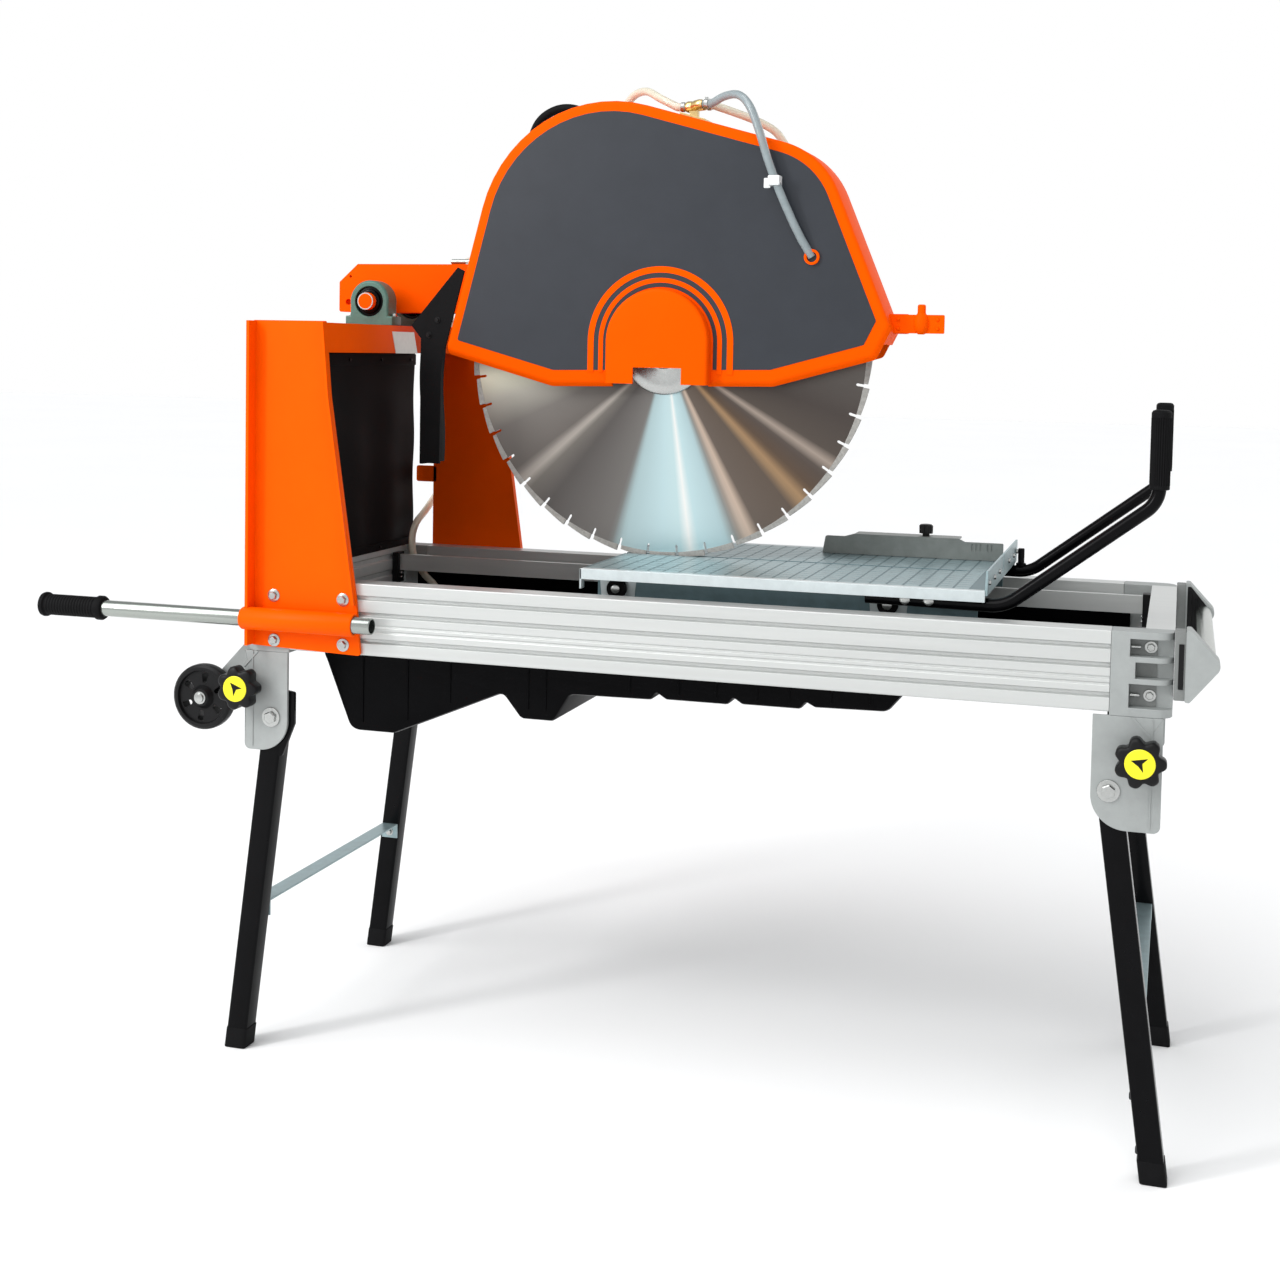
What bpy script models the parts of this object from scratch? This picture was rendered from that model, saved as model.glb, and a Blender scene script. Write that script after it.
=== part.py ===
"""Masonry saw: a folding-leg bench saw with a 700 mm blade on a tilting arm and a rolling cart.

Metres, +Z up. The machine is laid out from the blade: X runs along the rails towards the operator,
Y runs across it to the motor's side, Z is the height over the floor. One empty, machine, moves the
whole layout so that the frame's origin is the middle of the saw's footprint.
"""
import math

import bmesh
import bpy
from mathutils import Matrix, Vector

for leftover in list(bpy.data.objects):
    bpy.data.objects.remove(leftover, do_unlink=True)

# ---------------------------------------------------------------- driving dimensions
GAP = 0.0003                      # left between two touching pieces

BLADE_R = 0.350
BLADE_CORE = 0.0036
SPINDLE_Z = 1.176
FLANGE_R = 0.074
SEGMENTS = 42

RAIL_OUT = 0.293                  # outer faces of the two rails, from the blade's plane
RAIL_IN = 0.251
RAIL_TOP = 0.794
RAIL_BOTTOM = 0.678
FRAME_LEFT = -0.627
FRAME_RIGHT = 0.834
RAIL_LEFT = -0.545                # the rails end where the corner castings begin
RAIL_RIGHT = 0.748
END_BEAM = 0.040

GUIDE_Y = 0.200                   # the cart's guide bars
GUIDE_HALF = 0.006
GUIDE_TOP = 0.782
GUIDE_BOTTOM = 0.752
ROLLER_R = 0.0155
ROLLER_XS = (-0.016, 0.416)

TABLE_LEFT = -0.065
TABLE_RIGHT = 0.565
TABLE_HALF = 0.240
TABLE_TOP = 0.832
SHEET = 0.004
SLOT_END = 0.510
SIDE_PLATE_Y = 0.1882

PIVOT_X = -0.541
PIVOT_Z = 1.2535
SHAFT_R = 0.015
BEAM_TOP = 1.2115
BEAM_BOTTOM = 1.1635
BEAM_LEFT = -0.602
BEAM_RIGHT = -0.482

UPRIGHT_LEFT = -0.610
UPRIGHT_TOP = 1.214
REAR_SHIFT = 0.058                # the rear upright stands further forward
PLATE = 0.006
SOCKET_Z = 0.730
SOCKET_Y = RAIL_OUT + 0.0005 + PLATE + 0.018
HANDLE_R = 0.0135
HANDLE_TRAVEL = 0.256

LEG_Z = 0.565                     # fold pivots
LEG_LEFT_X = -0.577
LEG_RIGHT_X = 0.751
FOOT_LEFT_X = -0.6455
FOOT_RIGHT_X = 0.8305
LEG_HALF = 0.018
LEG_INNER = 0.2515
LEG_OUTER = 0.2865
KNOB_DX = 0.0425
KNOB_Z = 0.616
KNOB_FACE = 0.338
KNOB_R = 0.0325                   # middle of the star's wave, and how far its lobes swing
KNOB_LOBE = 0.0035
LUG_LEFT = 0.038                  # how far a leg's lock lug reaches inwards
LUG_RIGHT = 0.024

WHEEL_X = -0.714
WHEEL_Z = 0.585
WHEEL_R = 0.055

ARM_NEAR = 0.0503
ARM_FAR = 0.1250
ARM_BOTTOM = 1.236
ARM_TOP = 1.316
GUARD_HALF = 0.050
GUARD_WALL = 0.003
MOTOR_R = 0.115
COWL_END = 0.385
HOSE_R = 0.0075

NOSE_TIP = 0.900
GRIP_END = -0.996

# the footprint's middle, from the outermost pieces
MID_X = (GRIP_END + NOSE_TIP) / 2
MID_Y = (COWL_END - KNOB_FACE) / 2


# ---------------------------------------------------------------- scene tools
def empty(name, place, parent=None):
    """An empty on a joint's axis; place is in machine coordinates."""
    marker = bpy.data.objects.new(name, None)
    bpy.context.collection.objects.link(marker)
    marker.parent = parent
    marker.location = Vector(place)
    return marker


MACHINE = empty("machine", (-MID_X, -MID_Y, 0.0))


def material(name, colour, roughness, metallic=0.0):
    made = bpy.data.materials.get(name)
    if made:
        return made
    made = bpy.data.materials.new(name)
    made.use_nodes = True
    shader = made.node_tree.nodes["Principled BSDF"]
    shader.inputs["Base Color"].default_value = (*colour, 1.0)
    shader.inputs["Roughness"].default_value = roughness
    shader.inputs["Metallic"].default_value = metallic
    return made


def orange():
    return material("orange_paint", (0.90, 0.105, 0.008), 0.32)


def alloy():
    return material("anodised_aluminium", (0.62, 0.63, 0.62), 0.38, 0.9)


def cast():
    return material("cast_grey", (0.50, 0.52, 0.53), 0.5, 0.5)


def zinc():
    return material("galvanised_steel", (0.42, 0.46, 0.48), 0.42, 0.85)


def bright():
    return material("bright_steel", (0.62, 0.62, 0.62), 0.22, 1.0)


def black_paint():
    return material("black_paint", (0.012, 0.012, 0.013), 0.35)


def black_plastic():
    return material("black_plastic", (0.015, 0.015, 0.016), 0.5)


def black_rubber():
    return material("black_rubber", (0.012, 0.012, 0.012), 0.75)


def bearing_green():
    return material("bearing_green", (0.10, 0.26, 0.20), 0.45, 0.2)


def motor_grey():
    return material("motor_grey", (0.20, 0.23, 0.25), 0.45, 0.3)


def clear_hose():
    return material("clear_pvc", (0.72, 0.68, 0.52), 0.25)


# ---------------------------------------------------------------- outlines
def rounded(corners, steps=4):
    """Polygon of (u, v, radius) corners; each rounded corner becomes an arc of steps segments."""
    outline = []
    count = len(corners)
    for index, (u, v, radius) in enumerate(corners):
        here = Vector((u, v))
        if radius <= 0:
            outline.append((u, v))
            continue
        before = Vector(corners[index - 1][:2]) - here
        after = Vector(corners[(index + 1) % count][:2]) - here
        before.normalize()
        after.normalize()
        half = before.angle(after) / 2
        reach = radius / math.tan(half)
        centre = here + (before + after).normalized() * (radius / math.sin(half))
        first = here + before * reach - centre
        last = here + after * reach - centre
        turn = first.angle_signed(last)
        for step in range(steps + 1):
            spoke = first.copy()
            spoke.rotate(Matrix.Rotation(-turn * step / steps, 2))
            outline.append(tuple(centre + spoke))
    return outline


def inset(outline, distance):
    """Outline moved inwards by distance, each edge shifted and met with the next."""
    area = sum(a[0] * b[1] - b[0] * a[1] for a, b in zip(outline, outline[1:] + outline[:1]))
    side = 1 if area > 0 else -1
    moved = []
    count = len(outline)
    for index in range(count):
        p, q, r = (Vector(outline[(index + k) % count]) for k in (-1, 0, 1))
        d1, d2 = (q - p).normalized(), (r - q).normalized()
        n1, n2 = Vector((-d1.y, d1.x)) * side, Vector((-d2.y, d2.x)) * side
        bisector = (n1 + n2).normalized()
        moved.append(tuple(q + bisector * (distance / max(bisector.dot(n1), 0.2))))
    return moved


def circle(centre, radius, sides=32, start=0.0):
    return [(centre[0] + radius * math.cos(start + math.tau * k / sides),
             centre[1] + radius * math.sin(start + math.tau * k / sides)) for k in range(sides)]


def box_outline(u0, v0, u1, v1):
    return [(u0, v0), (u1, v0), (u1, v1), (u0, v1)]


# ---------------------------------------------------------------- solids
SPREAD = {"Y": lambda u, v, w: (u, w, v), "X": lambda u, v, w: (w, u, v), "Z": lambda u, v, w: (u, v, w)}


def place(mesh, name, paint, parent, smooth):
    """Link a mesh as a node; its vertices are in machine coordinates."""
    part = bpy.data.objects.new(name, mesh)
    bpy.context.collection.objects.link(part)
    part.parent = parent or MACHINE
    part.location = -parent.location if parent else Vector((0, 0, 0))
    if paint:
        mesh.materials.append(paint)
    if smooth:
        mesh.shade_smooth()
        mesh.set_sharp_from_angle(angle=math.radians(35))
    return part


def solid(bm, name, paint, parent, smooth=True):
    bmesh.ops.recalc_face_normals(bm, faces=bm.faces)
    mesh = bpy.data.meshes.new(name)
    bm.to_mesh(mesh)
    bm.free()
    return place(mesh, name, paint, parent, smooth)


def prism_into(bm, outline, axis, low, high):
    """Add a closed prism of a (u, v) outline along one axis: u, v are X, Z or Y, Z or X, Y."""
    spread = SPREAD[axis]
    bottom = [bm.verts.new(spread(u, v, low)) for u, v in outline]
    top = [bm.verts.new(spread(u, v, high)) for u, v in outline]
    bm.faces.new(bottom)
    bm.faces.new(reversed(top))
    for k in range(len(outline)):
        j = (k + 1) % len(outline)
        bm.faces.new((bottom[k], bottom[j], top[j], top[k]))


def prism(name, outline, axis, low, high, paint=None, parent=None):
    bm = bmesh.new()
    prism_into(bm, outline, axis, low, high)
    return solid(bm, name, paint, parent)


def box(name, low, high, paint=None, parent=None):
    return prism(name, box_outline(low[0], low[1], high[0], high[1]), "Z", low[2], high[2], paint, parent)


def cylinder(name, centre, radius, axis, low, high, paint=None, parent=None, sides=20):
    """centre is the (u, v) of the axis in the plane across it."""
    return prism(name, circle(centre, radius, sides), axis, low, high, paint, parent)


def turned(name, centre, profile, axis, paint=None, parent=None, sides=20):
    """A turned solid about an axis line: profile is (distance along the axis, radius) pairs."""
    bm = bmesh.new()
    spread = SPREAD[axis]
    rings = []
    for along, radius in profile:
        ring = [bm.verts.new(spread(*point, along)) for point in circle(centre, radius, sides)]
        rings.append(ring)
    bm.faces.new(rings[0])
    bm.faces.new(reversed(rings[-1]))
    for a, b in zip(rings, rings[1:]):
        for k in range(sides):
            j = (k + 1) % sides
            bm.faces.new((a[k], a[j], b[j], b[k]))
    return solid(bm, name, paint, parent)


def boolean(target, tool, operation):
    """Cut or join with a tool object, which stays as a hidden guide."""
    change = target.modifiers.new(tool.name, "BOOLEAN")
    change.operation = operation
    change.solver = "EXACT"
    change.object = tool
    tool.hide_render = True
    tool.display_type = "WIRE"


def cut(target, *tools):
    for tool in tools:
        boolean(target, tool, "DIFFERENCE")


def join(target, *tools):
    for tool in tools:
        boolean(target, tool, "UNION")


def smooth_path(points, steps):
    """Points of a Catmull-Rom curve through the route's own points."""
    knots = [Vector(p) for p in points]
    padded = [knots[0] * 2 - knots[1]] + knots + [knots[-1] * 2 - knots[-2]]
    path = []
    for i in range(1, len(padded) - 2):
        a, b, c, d = padded[i - 1:i + 3]
        for k in range(steps):
            t = k / steps
            path.append(0.5 * (2 * b + (c - a) * t + (2 * a - 5 * b + 4 * c - d) * t * t
                               + (3 * b - a - 3 * c + d) * t ** 3))
    return path + [knots[-1]]


def bent_path(corners, steps=4):
    """Straight runs joined by round bends: corners are (x, y, z, bend radius)."""
    path = [Vector(corners[0][:3])]
    for before, (x, y, z, radius), after in zip(corners, corners[1:], corners[2:]):
        here = Vector((x, y, z))
        back = (Vector(before[:3]) - here).normalized()
        ahead = (Vector(after[:3]) - here).normalized()
        half = back.angle(ahead) / 2
        reach = radius / math.tan(half)
        centre = here + (back + ahead).normalized() * (radius / math.sin(half))
        axis = back.cross(ahead)
        first = here + back * reach - centre
        turn = math.pi - 2 * half
        for k in range(steps + 1):
            spoke = first.copy()
            spoke.rotate(Matrix.Rotation(-turn * k / steps, 3, axis))
            path.append(centre + spoke)
    return path + [Vector(corners[-1][:3])]


def hose(name, points, radius, paint, parent=None, steps=2):
    """A flexible line: a curve with a round bevel and filled caps; its first and last runs stay straight."""
    data = bpy.data.curves.new(name, "CURVE")
    data.dimensions = "3D"
    data.bevel_depth = radius
    data.bevel_resolution = 2
    data.use_fill_caps = True
    path = [Vector(points[0])] + smooth_path(points[1:-1], steps) + [Vector(points[-1])]
    spline = data.splines.new("POLY")
    spline.points.add(len(path) - 1)
    for point, spot in zip(spline.points, path):
        point.co = (*spot, 1.0)
    data.materials.append(paint)
    line = bpy.data.objects.new(name, data)
    bpy.context.collection.objects.link(line)
    line.parent = parent or MACHINE
    line.location = -parent.location if parent else Vector((0, 0, 0))
    return line


def swept(name, path, radii, paint, parent=None, sides=10):
    """A round bar along a path in an XZ plane; the radius may step from point to point."""
    bm = bmesh.new()
    rings = []
    for k, spot in enumerate(path):
        ahead = path[min(k + 1, len(path) - 1)] - path[max(k - 1, 0)]
        tangent = ahead.normalized()
        across = Vector((0, 1, 0))
        up = tangent.cross(across).normalized()
        ring = [bm.verts.new(spot + (across * math.cos(a) + up * math.sin(a)) * radii[k])
                for a in (math.tau * s / sides for s in range(sides))]
        rings.append(ring)
    bm.faces.new(rings[0])
    bm.faces.new(reversed(rings[-1]))
    for a, b in zip(rings, rings[1:]):
        for k in range(sides):
            j = (k + 1) % sides
            bm.faces.new((a[k], a[j], b[j], b[k]))
    return solid(bm, name, paint, parent)


def span(sign, near, far):
    """The low and high Y of a stretch between two distances from the middle, on one side."""
    return sorted((sign * near, sign * far))


# ---------------------------------------------------------------- frame
def rail_outline(sign):
    """The rail's section: three grooves on the outer face and a ledge for the tank inside."""
    groove = 0.004
    height = RAIL_TOP - RAIL_BOTTOM
    outline = [(RAIL_IN, RAIL_BOTTOM)]
    outline.append((RAIL_OUT, RAIL_BOTTOM))
    for share, width in ((0.79, 0.009), (0.43, 0.007), (0.20, 0.007)):
        middle = RAIL_TOP - share * height
        outline += [(RAIL_OUT, middle - width / 2), (RAIL_OUT - groove, middle - width / 4),
                    (RAIL_OUT - groove, middle + width / 4), (RAIL_OUT, middle + width / 2)]
    outline += [(RAIL_OUT - 0.002, RAIL_TOP), (RAIL_IN, RAIL_TOP)]
    outline += [(RAIL_IN, 0.716), (RAIL_IN - 0.012, 0.716), (RAIL_IN - 0.012, 0.704), (RAIL_IN, 0.700)]
    return [(sign * y, z) for y, z in outline]


def rail(name, sign):
    bar = prism(name, rail_outline(sign), "X", RAIL_LEFT, RAIL_RIGHT, alloy())
    for label, low, high in (("lower", 0.684, 0.728), ("upper", 0.734, 0.788)):
        y0, y1 = span(sign, RAIL_IN + 0.004, RAIL_OUT - 0.008)
        cut(bar, box(f"{name}_{label}_chamber", (RAIL_LEFT - 0.01, y0, low), (RAIL_RIGHT + 0.01, y1, high)))


def end_beam(name, low_x):
    beam = box(name, (low_x, -RAIL_IN + GAP, 0.690), (low_x + END_BEAM, RAIL_IN - GAP, RAIL_TOP), alloy())
    cut(beam, box(f"{name}_chamber", (low_x + 0.004, -0.3, 0.695), (low_x + END_BEAM - 0.004, 0.3, 0.789)))


def leg_bracket(name, sign, block, plate, pivot_x, knob_x, outward):
    """A corner casting: a ribbed block on the rail's end over the plate that carries a leg."""
    inner, outer = block
    corners = [(inner, sign * (RAIL_IN + GAP), 0), (outer, sign * (RAIL_IN + GAP), 0),
               (outer, sign * RAIL_OUT, 0.024), (inner, sign * RAIL_OUT, 0)]
    casting = prism(name, rounded(corners, 6), "Z", 0.673, RAIL_TOP, cast())
    for row, (low, high) in enumerate(((0.684, 0.719), (0.727, 0.751), (0.758, 0.783))):
        y0, y1 = span(sign, RAIL_OUT - 0.022, RAIL_OUT + 0.01)
        x0, x1 = sorted((inner + 0.028 * outward, outer + 0.01 * outward))
        cut(casting, box(f"{name}_recess_{row}", (x0, y0, low), (x1, y1, high)))
    u0, u1 = plate
    foot = [(u0, 0.6775, 0), (u1, 0.6775, 0), (u1, 0.509, 0.008), (u0, 0.509, 0.055)]
    y0, y1 = span(sign, RAIL_OUT - 0.006, RAIL_OUT)
    plate_tool = prism(f"{name}_plate", rounded(foot, 8), "Y", y0, y1)
    stud_hole = cylinder(f"{name}_stud_hole", (knob_x, KNOB_Z), 0.0056, "Y", *span(sign, 0.28, 0.30),
                         sides=20)
    pin = cylinder(f"{name}_pin", (pivot_x, LEG_Z), 0.006, "Y", *span(sign, LEG_INNER - 0.002, 0.290),
                   sides=20)
    head = cylinder(f"{name}_pin_head", (pivot_x, LEG_Z), 0.012, "Y", *span(sign, 0.2925, 0.301), sides=6)
    join(casting, plate_tool, pin, head)
    cut(casting, stud_hole)
    return casting


def wheel_carrier(casting, name, sign):
    """The steel arm that holds a transport wheel beyond the left legs, with its axle bolt."""
    arm = [(-0.600, 0.6885), (-0.600, 0.674), (-0.622, 0.642)]
    arm += [(WHEEL_X + 0.016 * math.cos(a), WHEEL_Z + 0.016 * math.sin(a))
            for a in (math.radians(d) for d in range(-50, -251, -25))]
    arm += [(-0.637, 0.6885)]
    plate = prism(f"{name}_arm", arm, "Y", *span(sign, 0.2480, 0.2545))
    axle = cylinder(f"{name}_axle", (WHEEL_X, WHEEL_Z), 0.005, "Y", *span(sign, 0.250, 0.2875), sides=20)
    bolt = cylinder(f"{name}_axle_bolt", (WHEEL_X, WHEEL_Z), 0.008, "Y", *span(sign, 0.2856, 0.2905),
                    sides=6)
    join(casting, plate, axle, bolt)


def corner_castings():
    for side, sign in (("front", -1), ("rear", 1)):
        name = f"leg_bracket_left_{side}"
        casting = leg_bracket(name, sign, (RAIL_LEFT - GAP, FRAME_LEFT), (-0.548, -0.626), LEG_LEFT_X,
                              LEG_LEFT_X - KNOB_DX, -1)
        wheel_carrier(casting, f"wheel_carrier_{side}", sign)
        name = f"leg_bracket_right_{side}"
        leg_bracket(name, sign, (RAIL_RIGHT + GAP, FRAME_RIGHT), (0.726, 0.823), LEG_RIGHT_X,
                    LEG_RIGHT_X + KNOB_DX, 1)


def guide_rail(name, sign):
    y0, y1 = span(sign, GUIDE_Y - GUIDE_HALF, GUIDE_Y + GUIDE_HALF)
    box(name, (FRAME_LEFT + END_BEAM + GAP, y0, GUIDE_BOTTOM), (FRAME_RIGHT - END_BEAM - GAP, y1, GUIDE_TOP),
        zinc())


def nose():
    """The lifting nose: two ribbed wedge brackets welded to the round bar between them."""
    wedge = [(FRAME_RIGHT + GAP, 0.697, 0), (0.850, 0.697, 0.006), (NOSE_TIP, 0.752, 0.012),
             (0.852, 0.800, 0.006), (FRAME_RIGHT + GAP, 0.800, 0)]
    bar = cylinder("lifting_nose", (0.879, 0.752), 0.0125, "Y", -0.252, 0.252, cast(), sides=24)
    for side, sign in (("front", -1), ("rear", 1)):
        y0, y1 = span(sign, 0.250, RAIL_OUT)
        join(bar, prism(f"nose_wedge_{side}", rounded(wedge, 5), "Y", y0, y1))
    for side, sign in (("front", -1), ("rear", 1)):
        y0, y1 = span(sign, 0.262, RAIL_OUT + 0.01)
        for k, (low, high) in enumerate(((0.840, 0.849), (0.853, 0.862))):
            drop = (low - 0.840) * 0.9
            cut(bar, box(f"nose_pocket_{side}_{k}", (low, y0, 0.708 + drop), (high, y1, 0.790 - drop)))


def frame():
    for side, sign in (("front", -1), ("rear", 1)):
        rail(f"{side}_rail", sign)
        guide_rail(f"guide_rail_{side}", sign)
    end_beam("left_end_beam", FRAME_LEFT)
    end_beam("right_end_beam", FRAME_RIGHT - END_BEAM)
    corner_castings()
    nose()


# ---------------------------------------------------------------- water
TANK_FLOOR = [(-0.583, 0.720), (-0.575, 0.692), (-0.520, 0.684), (-0.462, 0.541), (-0.385, 0.541),
              (-0.195, 0.622), (-0.163, 0.583), (-0.107, 0.583), (-0.080, 0.628), (0.425, 0.640),
              (0.462, 0.684), (0.775, 0.688), (0.783, 0.720)]


def water_tank():
    """The moulded tank under the cut: a sump, a second bulge and a shallow floor, with side rims."""
    wall = 0.004
    half = 0.236
    tank = prism("water_tank", TANK_FLOOR, "Y", -half, half, black_plastic())
    hollow = inset(TANK_FLOOR, wall)
    hollow[0] = (hollow[0][0], 0.740)
    hollow[-1] = (hollow[-1][0], 0.740)
    cut(tank, prism("tank_hollow", hollow, "Y", -half + wall, half - wall))
    for side, sign in (("front", -1), ("rear", 1)):
        y0, y1 = span(sign, half - 0.003, RAIL_IN - 0.0015)
        join(tank, box(f"tank_rim_{side}", (-0.560, y0, 0.7165), (0.760, y1, 0.7199)))
    join(tank, cylinder("tank_drain", (-0.424, 0.0), 0.018, "Z", 0.528, 0.543, sides=24))


def water_pump():
    """A submersible pump that stands in the sump."""
    spot = (-0.424, 0.060)
    profile = [(0.5454, 0.030), (0.5600, 0.030), (0.5620, 0.027), (0.6500, 0.027), (0.6560, 0.020),
               (0.6600, 0.009), (0.6740, 0.009)]
    turned("water_pump", spot, profile, "Z", black_plastic(), sides=24)


def pump_hose():
    """From the pump, out past the rear rail, up behind the rear upright to the pivot's axis."""
    route = [(-0.424, 0.060, 0.6745), (-0.424, 0.060, 0.688), (-0.437, 0.082, 0.712), (-0.465, 0.125, 0.726),
             (-0.500, 0.180, 0.732), (-0.537, 0.222, 0.743), (-0.562, 0.230, 0.775), (-0.571, 0.240, 0.810),
             (-0.575, 0.268, 0.836), (-0.575, 0.305, 0.854), (-0.568, 0.336, 0.880), (-0.550, 0.346, 0.916),
             (-0.534, 0.347, 0.965), (-0.529, 0.347, 1.040), (-0.531, 0.348, 1.120), (-0.536, 0.350, 1.190),
             (-0.541, 0.342, 1.232), (-0.541, 0.316, PIVOT_Z), (-0.541, 0.3003, PIVOT_Z)]
    return hose("pump_hose", route, HOSE_R, clear_hose())


# ---------------------------------------------------------------- uprights
def upright(name, sign, shift):
    """A flanged plate, wider at its foot, with the socket tube of a carry handle welded on."""
    left = UPRIGHT_LEFT + shift
    slant = [(left, 0.684), (-0.415 + shift, 0.678), (-0.423 + shift, 0.767), (-0.472 + shift, 1.095),
             (-0.482 + shift, UPRIGHT_TOP), (left, UPRIGHT_TOP)]
    inside = RAIL_OUT + 0.0005
    plate = prism(name, slant, "Y", *span(sign, inside, inside + PLATE), orange())
    flange = box(f"{name}_flange", (left, span(sign, inside + 0.001, inside + 0.030)[0], 0.757),
                 (left + 0.005, span(sign, inside + 0.001, inside + 0.030)[1], UPRIGHT_TOP - 0.001))
    lip = [(-0.428 + shift, 0.760), (-0.423 + shift, 0.760), (-0.472 + shift, 1.095),
           (-0.482 + shift, 1.2130), (-0.487 + shift, 1.2130), (-0.477 + shift, 1.095)]
    front_lip = prism(f"{name}_lip", lip, "Y", *span(sign, inside + 0.001, inside + 0.014))
    join(plate, flange, front_lip)
    tube = cylinder(f"{name}_socket", (sign * SOCKET_Y, SOCKET_Z), 0.0185, "X", left - 0.006, left + 0.194,
                    sides=24)
    bore = cylinder(f"{name}_socket_bore", (sign * SOCKET_Y, SOCKET_Z), 0.0145, "X", left - 0.02,
                    left + 0.21,
                    sides=24)
    join(plate, tube)
    cut(plate, bore)
    for k, (x, z) in enumerate(((-0.570, 0.767), (-0.446, 0.767), (-0.569, 0.694), (-0.445, 0.694))):
        bolt = cylinder(f"{name}_bolt_{k}", (x + shift, z), 0.0075, "Y",
                        *span(sign, inside + 0.003, inside + PLATE + 0.006), sides=6)
        join(plate, bolt)
    return plate


def uprights():
    upright("front_upright", -1, 0.0)
    rear = upright("rear_upright", 1, REAR_SHIFT)
    tab = box("rear_upright_tab", (-0.588, RAIL_OUT + 0.0005, 0.914), (-0.545, RAIL_OUT + 0.0060, 0.945))
    join(rear, tab)
    beam = box("cross_beam", (BEAM_LEFT, -RAIL_OUT - 0.0001, BEAM_BOTTOM),
               (BEAM_RIGHT, RAIL_OUT + 0.0001, BEAM_TOP),
               orange())
    cut(beam, box("cross_beam_chamber", (BEAM_LEFT + 0.005, -0.4, BEAM_BOTTOM + 0.005),
                  (BEAM_RIGHT - 0.005, 0.4, BEAM_TOP - 0.005)))
    box("splash_curtain", (-0.595, -0.286, RAIL_TOP + GAP), (-0.591, 0.286, BEAM_BOTTOM - GAP),
        black_rubber())


def pillow_block(name, low_y, high_y):
    """A short-base pillow block: a round head over a flat foot, bored for the pivot shaft."""
    base = BEAM_TOP + GAP
    head = 0.037
    foot = [(PIVOT_X - 0.046, base), (PIVOT_X + 0.046, base), (PIVOT_X + 0.046, base + 0.016)]
    foot += [(PIVOT_X + head * math.cos(a), PIVOT_Z + head * math.sin(a))
             for a in (math.radians(d) for d in range(-10, 191, 10))]
    foot += [(PIVOT_X - 0.046, base + 0.016)]
    block = prism(name, foot, "Y", low_y, high_y, bearing_green())
    cut(block, cylinder(f"{name}_bore", (PIVOT_X, PIVOT_Z), SHAFT_R + 0.0005, "Y", low_y - 0.01,
                        high_y + 0.01))


# ---------------------------------------------------------------- head
def guard_outline():
    return rounded([(-0.383, 1.166, 0.012), (-0.258, 1.6438, 0.235), (0.2694, 1.4987, 0.140),
                    (0.3860, 1.2170, 0.015), (0.3620, 1.1680, 0.012), (0.1950, 1.1210, 0.03),
                    (-0.1870, 1.1130, 0.03)], 5)


def boss_outline(radius, bottom):
    middle = 1.190
    arc = [(radius * math.cos(math.radians(d)), middle + radius * math.sin(math.radians(d)))
           for d in range(0, 181, 12)]
    return arc + [(-radius, bottom), (radius, bottom)]


def guard_hollow(outline):
    """The space inside the guard: the outline moved in by the wall and left open below."""
    inner = inset(outline, GUARD_WALL)
    upper = [point for point in inner if point[1] > (1.175 if point[0] < 0 else 1.18)]
    right = [p for p in upper if p[0] > 0.3]
    left = [p for p in upper if p[0] < -0.3]
    low_right = min(right, key=lambda p: p[1])
    low_left = min(left, key=lambda p: p[1])
    start = upper.index(low_left)
    ordered = upper[start:] + upper[:start]
    return ordered + [(low_right[0] - 0.020, 1.150), (low_right[0] - 0.030, 1.060),
                      (low_left[0], 1.060)]


def blade_guard(head):
    outline = guard_outline()
    guard = prism("blade_guard", outline, "Y", -GUARD_HALF, GUARD_HALF, orange(), head)
    boss = prism("guard_boss", boss_outline(0.088, 1.121), "Y", -GUARD_HALF - 0.024, -GUARD_HALF + 0.001,
                 None, head)
    hook = box("guard_hook", (0.376, -0.012, 1.2115), (0.465, 0.012, 1.2395), None, head)
    pin = cylinder("guard_hook_pin", (0.434, 0.0), 0.009, "Z", 1.2050, 1.2585, None, head, sides=16)
    join(guard, boss, hook, pin)
    for side, sign in (("front", -1), ("rear", 1)):
        join(guard, cylinder(f"guard_inlet_{side}", (0.255, 1.332), 0.0160, "Y",
                             *span(sign, GUARD_HALF - 0.002, GUARD_HALF + 0.0275), None, head, sides=20))
    cut(guard, prism("guard_hollow", guard_hollow(outline), "Y", -GUARD_HALF + GUARD_WALL,
                     GUARD_HALF - GUARD_WALL, None, head))
    cut(guard, prism("guard_boss_hollow", boss_outline(0.084, 1.100), "Y", -GUARD_HALF - 0.020,
                     -GUARD_HALF + 0.010, None, head))
    cut(guard, box("guard_flange_window", (-0.040, -0.100, 1.080), (0.046, -0.040, 1.146), None, head))
    cut(guard, cylinder("guard_shaft_hole", (0.0, SPINDLE_Z), 0.045, "Y", 0.040, 0.060, None, head))
    cut(guard, box("guard_shaft_gap", (-0.045, 0.040, 1.080), (0.045, 0.060, SPINDLE_Z), None, head))


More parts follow.
